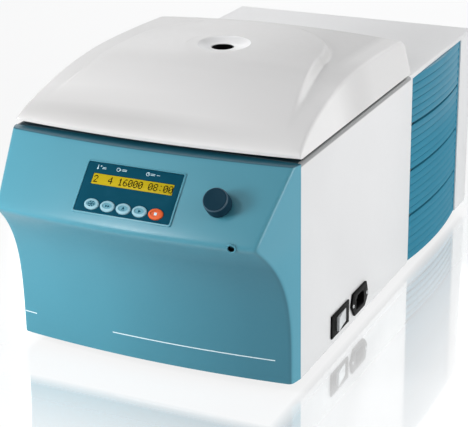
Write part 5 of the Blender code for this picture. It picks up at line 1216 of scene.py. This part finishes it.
AXIS = at(0, AXIS_Y)
carve(cover, drum("hub_hole", DISH_R, 0.26, 0.33, AXIS, 128))
cover = unite(settle(cover), settle(hub_dish(), 50))
hand_over(cover, "lid", LID_WHITE, "white_enamel", "lid_outer")
tube = turned("sight_tube", [
    (0.0112, DISH_FLOOR - 0.0009), (0.0116, DISH_FLOOR - 0.0004), (0.0121, DISH_FLOOR - 0.0004),
    (SIGHT_R, DISH_FLOOR - 0.0009), (SIGHT_R, 0.2985), (0.0112, 0.2985)], steps=64, closed=True)
complete(tube, "lid", BLACK, "smoked_glass")
glass = turned("sight_window", [
    (0, 0.2981), (SIGHT_R, 0.2981), (SIGHT_R, 0.2598), (0.018, 0.2598), (0.018, 0.2573),
    (SIGHT_R, 0.2573), (SIGHT_R, 0.2545), (0, 0.2545)], steps=64)
complete(glass, "lid", GLASS, "smoked_glass", "sight_glass")
print("hub done")

# %% [markdown]
# ## The white casing
# Two sides, the deck and the rear hood are one bent and welded sheet. A block with rounded long
# edges is hollowed from below, and the openings for the bowl, the grilles, the lock, the switch
# and the inlet are cut, each with its own plain tool.

# %% Casing and rear sheet
INNER_HALF, DECK_UNDER = 0.1615, 0.2465
POWER_LOW, POWER_HIGH, POWER_INNER, POWER_OUTER = 0.0237, 0.0463, 0.15, 0.17
VENT_FRONT, VENT_REAR, VENT_TOP = 0.092, 0.280, 0.2455


def casing():
    shell = box("white_casing", (-HALF, SPLIT_Y, BASE_Z), (HALF, REAR_Y, DECK_Z), 0.0028, 5,
                lambda a, b: min(a.z, b.z) > 0.2 and abs(a.x - b.x) < 0.01)
    tools = [box("hollow", (-INNER_HALF, SPLIT_Y - 0.01, 0),
                 (INNER_HALF, REAR_Y + 0.01, DECK_UNDER)),
             drum("bowl_hole", 0.10975, 0.2, 0.26, AXIS, 96),
             box("lock_hole", (-0.014, -0.227, 0.24), (0.014, -0.218, 0.26))]
    for front, rear in ((-0.1593, -0.1127), (-0.0938, -0.0632)):
        tools.append(box("power_hole", (POWER_INNER, front, POWER_LOW),
                         (POWER_OUTER, rear, POWER_HIGH)))
    for side in (-1, 1):
        near, far = sorted((side * 0.155, side * 0.17))
        tools.append(box("grille_hole", (near, VENT_FRONT - FIT, 0),
                         (far, VENT_REAR + FIT, VENT_TOP + FIT)))
    carve(shell, *tools)
    return soft_edges(shell, 0.0004, 2, 50)


complete(casing(), "case", WHITE, "white_enamel", "housing", angle=30)
hand_over(refined("rear_panel", "rear_sheet", 0.0003, 1), "case", WHITE, "white_enamel",
          "rear_panel")
print("casing", PIECES["white_casing"], "faces")

# %% [markdown]
# ## Louvred side vents
# Each vent is a bowed moulding with 24 slats. Every slat leans, so its lower edge stands out
# over the one below and hides the air slot between them, as a real louvre does. Three slots are
# wider and read as dark lines. Cuts across the straight bar come first, because a bar without
# them has no points in the middle that could be moved outwards. Two stiles hold the slats.

# %% One slat, its copies and the stiles
SLATS, SLATS_IN_FIELD = 24, 6
VENT_PITCH = (VENT_TOP - BASE_Z) / SLATS
HALF_SLOT, HALF_WIDE_SLOT = 0.0005, 0.0019
SLAT_INNER, SLAT_OUTER, SLAT_LEAN, VENT_BOW, STILE = 0.1575, 0.1635, 0.0013, 0.0065, 0.004


def bent_bar(name, low, high, side, cuts=16):
    """A bar along Y from stile to stile that bows outwards, with soft outer edges."""
    bar = box(name, (SLAT_INNER, VENT_FRONT, low), (SLAT_OUTER, VENT_REAR, high), 0.0011, 2,
              lambda a, b: min(a.x, b.x) > SLAT_OUTER - 0.0005 and abs(a.y - b.y) > 0.1)
    edit(bar)
    for i in range(1, cuts):
        y = VENT_FRONT + (VENT_REAR - VENT_FRONT) * i / cuts
        bpy.ops.mesh.select_all(action="SELECT")
        bpy.ops.mesh.bisect(plane_co=(0, y, 0), plane_no=(0, 1, 0))
    choose(bar)
    middle, reach = (VENT_FRONT + VENT_REAR) / 2, (VENT_REAR - VENT_FRONT) / 2
    for point in bar.data.vertices:
        share = (point.co.y - middle) / reach
        back = SLAT_LEAN * (point.co.z - low) / (high - low)
        point.co.x = side * (point.co.x - back + VENT_BOW * (1 - share ** 2))
    edit(bar)
    bpy.ops.mesh.normals_make_consistent(inside=False)
    return choose(bar)


def half_slot(line):
    """Half the air slot at a line between slats, counted from below; none at the ends."""
    if line in (0, SLATS):
        return 0
    return HALF_SLOT if line % SLATS_IN_FIELD else HALF_WIDE_SLOT


def vent(name, side):
    made = [bent_bar(name, BASE_Z + i * VENT_PITCH + half_slot(i),
                     BASE_Z + (i + 1) * VENT_PITCH - half_slot(i + 1), side)
            for i in range(SLATS)]
    bulge = VENT_BOW * (1 - 0.96 ** 2)
    near, far = sorted((side * 0.1577, side * (0.1632 + bulge * 0.6)))
    for low, high in ((VENT_FRONT, VENT_FRONT + STILE), (VENT_REAR - STILE, VENT_REAR)):
        made.append(box("stile", (near, low, BASE_Z), (far, high, VENT_TOP), 0.0004, 1))
    return unite(*made)


for node, side in (("grille_right", 1), ("grille_left", -1)):
    louvre = vent(node + "_vent", side)
    complete(louvre, "case", VENT_TEAL, "teal_moulding", node, angle=30)
print("vents", PIECES["grille_right_vent"], "faces each")

# %% [markdown]
# ## Switch, inlet and feet
# These are already the right shape in the CAD. A merged copy whose edges are broken by a small
# bevel is the quickest honest way to finish them, because a real moulded edge is never sharp
# and it is the edge that catches the light. Small screws are turned and slotted.

# %% Power entry
for node, name, body, finish, slot, edge in (
        ("switch_frame", "switch_bezel", "case", BLACK, "black_plastic", 0.0006),
        ("rocker", "rocker_cap", "power_rocker", GREY, "grey_plastic", 0.0004),
        ("mains_inlet", "inlet_block", "case", BLACK, "black_plastic", 0.0005)):
    piece = refined(node, name, edge, 3)
    hand_over(piece, body, finish, slot, node)


def screw(name, place, radius, deep=0.0012):
    """A pan head with a cross slot."""
    head = turned(name, [(0, deep), (radius * 0.5, deep * 0.97), (radius * 0.85, deep * 0.7),
                         (radius, deep * 0.25), (radius, 0), (0, 0)], (0, 0), 32)
    for turn in (0, 90):
        slot = box("slot", (-radius * 0.6, -0.00022, deep * 0.45), (radius * 0.6, 0.00022, 0.004))
        carve(head, put_in(slot, turned_by(turn)))
    return settle(put_in(head, place))


OUT_RIGHT = turned_by(90, "Y")
for i, y in enumerate((-0.0995, -0.0575), 1):
    head = screw(f"inlet_screw_{i}", at(0.1677, y, 0.035) @ OUT_RIGHT, 0.0021)
    hand_over(head, "case", STEEL, "polished_steel")
OUT_BACK = turned_by(-90, "X")
spots = [(x, z) for x in (-0.150, 0.150) for z in (0.030, 0.130, 0.235)]
for i, (x, z) in enumerate(spots, 1):
    head = screw(f"rear_screw_{i}", at(x, REAR_Y - 0.0002, z) @ OUT_BACK, 0.0028, 0.0002)
    hand_over(head, "case", STEEL, "polished_steel")
print("power entry done")

# %% Feet
def foot(name, x, y):
    piece = turned(name, [(0, 0.0127), (0.013, 0.0127), (0.0124, 0.0106), (0.0112, 0.0074),
                          (0.0112, 0.006), (0.0128, 0.0046), (0.0154, 0.0024), (0.016, 0.0016),
                          (0.0157, 0.0005), (0.015, 0), (0, 0)], (x, y), 48)
    return settle(piece, angle=50)


for row, y in (("front", -0.215), ("rear", 0.285)):
    for side, x in (("left", -0.135), ("right", 0.135)):
        node = f"foot_{row}_{side}"
        hand_over(foot(node + "_rubber", x, y), "case", RUBBER, "black_rubber", node)
print("feet done")

# %% [markdown]
# ## Inside the chamber
# With the cover open one sees the pressed steel bowl, the seal round it and the rotor under its
# own cover. All of them are round, so each is a section that is spun about the motor's axis.
# The bowl is drawn as a single line and gets its sheet thickness from Solidify.

# %% Bowl and seal
BOWL_SHEET = 0.0015


def bowl_line():
    """The middle of the bowl's sheet, from its flange down the wall to the neck."""
    radius, floor_z, fillet, top = 0.108, 0.150, 0.018, DECK_Z + FIT + BOWL_SHEET / 2
    line = [(radius + 0.011, top), (radius + 0.0030, top), (radius + 0.0012, top - 0.0003),
            (radius + 0.0003, top - 0.0012), (radius, top - 0.003)]
    for i in range(11):
        angle = math.pi / 2 * i / 10
        line.append((radius - fillet + fillet * math.cos(angle),
                     floor_z + fillet - fillet * math.sin(angle)))
    return line + [(0.032, floor_z), (0.029, floor_z + 0.0004), (0.016, floor_z + 0.006)]


bowl = thicken(turned("bowl_skin", bowl_line(), steps=128), BOWL_SHEET, side=0)
complete(bowl, "case", BOWL_STEEL, "polished_steel", "chamber_bowl", angle=40)

low, high, inner = DECK_Z + FIT, SEAM_Z + 0.0005 - FIT, 0.1202
seal = turned("chamber_seal", [
    (inner, low), (inner, low + 0.0008), (inner + 0.0018, high - 0.0003), (inner + 0.0024, high),
    (inner + 0.0032, high - 0.0008), (inner + 0.0040, high - 0.0010),
    (inner + 0.0048, high - 0.0008), (inner + 0.0056, high), (inner + 0.0062, high - 0.0003),
    (inner + 0.008, low + 0.0008), (inner + 0.008, low)], steps=128, closed=True)
complete(seal, "case", RUBBER, "black_rubber", "chamber_gasket", angle=40)
print("bowl", PIECES["bowl_skin"], "faces")

# %% Rotor with its wells
RIM_R, BASE, TOP_FACE, WELLS = 0.088, 0.168, 0.227, 24
WELL_RING = RIM_R * 0.6705


def angle_rotor():
    hub = WELL_RING * 0.373
    rim_in, hub_z = RIM_R - 0.010, TOP_FACE - 0.014
    face_low = TOP_FACE - (rim_in - hub * 1.6)
    body = turned("angle_rotor", [
        (0, hub_z), (hub - 0.0006, hub_z), (hub, hub_z - 0.0006), (hub * 1.2, face_low),
        (hub * 1.6, face_low), (rim_in, TOP_FACE), (RIM_R - 0.0006, TOP_FACE),
        (RIM_R + 0.0001, TOP_FACE - 0.0006), (0.0965, TOP_FACE - 0.0092),
        (0.097, TOP_FACE - 0.0102), (0.097, BASE + 0.016), (0.0966, BASE + 0.0148),
        (0.0863, BASE + 0.0046), (0.0850, BASE + 0.004), (0.039, BASE + 0.004),
        (0.0265, BASE + 0.0004), (0.026, BASE), (0, BASE)], steps=96)
    wells = [drum("bore", 0.0083, BASE - 0.004, hub_z - 0.012, AXIS, 48)]
    for i in range(WELLS):
        place = AXIS @ turned_by(360 * i / WELLS)
        place = place @ at(WELL_RING, 0, TOP_FACE - (rim_in - WELL_RING))
        place = place @ turned_by(-45, "Y")
        wells.append(drum("well", WELL_RING * 0.095, -0.034, 0.008, place, 20))
    return carve(body, unite(*wells))


complete(angle_rotor(), "rotor_group", ALUMINIUM, "rotor_aluminium", "rotor")
print("rotor", PIECES["angle_rotor"], "faces")

# %% Rotor cover, its nut and the shaft
GROOVES, under = 16, TOP_FACE + FIT
lid_plate = turned("rotor_lid", [
    (0.0063, under + 0.006), (0.0215, under + 0.006), (0.0225, under + 0.0059),
    (0.0855, under + 0.0022), (0.0872, under + 0.0018), (0.088, under + 0.0010), (0.088, under),
    (0.078, under), (0.0222, under + 0.0038), (0.0063, under + 0.0040)], steps=128, closed=True)
complete(lid_plate, "rotor_group", ALUMINIUM, "rotor_aluminium", "rotor_cover", angle=30)


def cover_nut():
    """A round hand nut with sixteen finger grooves."""
    foot = under + 0.006 + FIT
    body = turned("hand_nut", [
        (0, foot + 0.0094), (0.0092, foot + 0.0094), (0.0098, foot + 0.0100),
        (0.0130, foot + 0.0100), (0.0142, foot + 0.0094), (0.0152, foot + 0.0084),
        (0.0160, foot + 0.0068), (0.0160, foot + 0.0030), (0.0150, foot + 0.0010),
        (0.0130, foot), (0.006, foot), (0.006, 0.2073), (0, 0.2073)], steps=64)
    grooves = []
    for i in range(GROOVES):
        place = AXIS @ turned_by(360 * i / GROOVES)
        grooves.append(drum("groove", 0.0014, foot - 0.001, foot + 0.012,
                            place @ at(0.0168, 0), 16))
    return carve(body, unite(*grooves))


complete(cover_nut(), "rotor_group", SLATE, "slate_knob", "rotor_cover_nut")
shaft = refined("motor_shaft", "drive_shaft", 0.0003, 2)
hand_over(shaft, "rotor_group", STEEL, "polished_steel", "motor_shaft")
print("nut", PIECES["hand_nut"], "faces")

# %% [markdown]
# ## Under the cover, hinges and lock
# The flat inner panel, the hinge leaves, the striker and the lock keep their CAD forms, which
# are right already. Their edges are broken with a small bevel, since an edge that catches light
# is what tells the eye that a sheet has thickness.

# %% Bevelled copies of the sheet parts
SHEET_PARTS = [("lid_inner_panel", "cover_inner_panel", "lid", PANEL_GREY, "grey_plastic", 0.0006),
               ("lid_striker", "striker_hook", "lid", STEEL, "polished_steel", 0.0003),
               ("lock_unit", "lock_body", "case", BLACK, "black_plastic", 0.0004),
               ("lock_bolt", "lock_tongue", "bolt", STEEL, "polished_steel", 0.0003)]
for side in ("left", "right"):
    SHEET_PARTS += [
        (f"hinge_body_{side}", f"hinge_leaf_case_{side}", "case", ZINC, "zinc_sheet", 0.0004),
        (f"hinge_lid_{side}", f"hinge_leaf_cover_{side}", "lid", ZINC, "zinc_sheet", 0.0004),
        (f"hinge_pin_{side}", f"hinge_axle_{side}", "lid", STEEL, "polished_steel", 0.0003)]
BODY_OF = {node: body for body, nodes in frame["record"]["behaviour"]["bodies"].items()
           for node in nodes}
for node, name, body, finish, slot, edge in SHEET_PARTS:
    hand_over(refined(node, name, edge, 2, 40), BODY_OF[node], finish, slot, node)
print("sheet parts", len(SHEET_PARTS))

# %% [markdown]
# ## A finish for every other CAD piece
# What works inside the machine stays as the CAD made it, but it still gets a real finish: foam,
# cast and plated metal, lacquered board, copper and black enamel. The CAD object's own material
# slot is simply pointed at the new material.

# %% Dress the pieces that stay
DRESS = {FOAM: ["insulation"], DARK: ["motor", "compressor"], CAST: ["drive_module"],
         FIN: ["condenser"], COPPER: ["discharge_line", "suction_line"], BOARD: ["control_board"],
         ZINC: ["motor_plate", "partition", "base_pan", "encoder"],
         RUBBER: ["damper_1", "damper_2", "damper_3"], BLACK: ["fan_frame"], GREY: ["fan_wheel"]}
for finish, nodes in DRESS.items():
    for node in nodes:
        mesh = frame["nodes"][node].data
        mesh.materials.clear()
        mesh.materials.append(finish)
print("dressed", sum(len(nodes) for nodes in DRESS.values()), "CAD pieces")

# %% Find the bounds and count the pieces
low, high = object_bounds()
print("pieces", len(PIECES), "faces", sum(PIECES.values()))
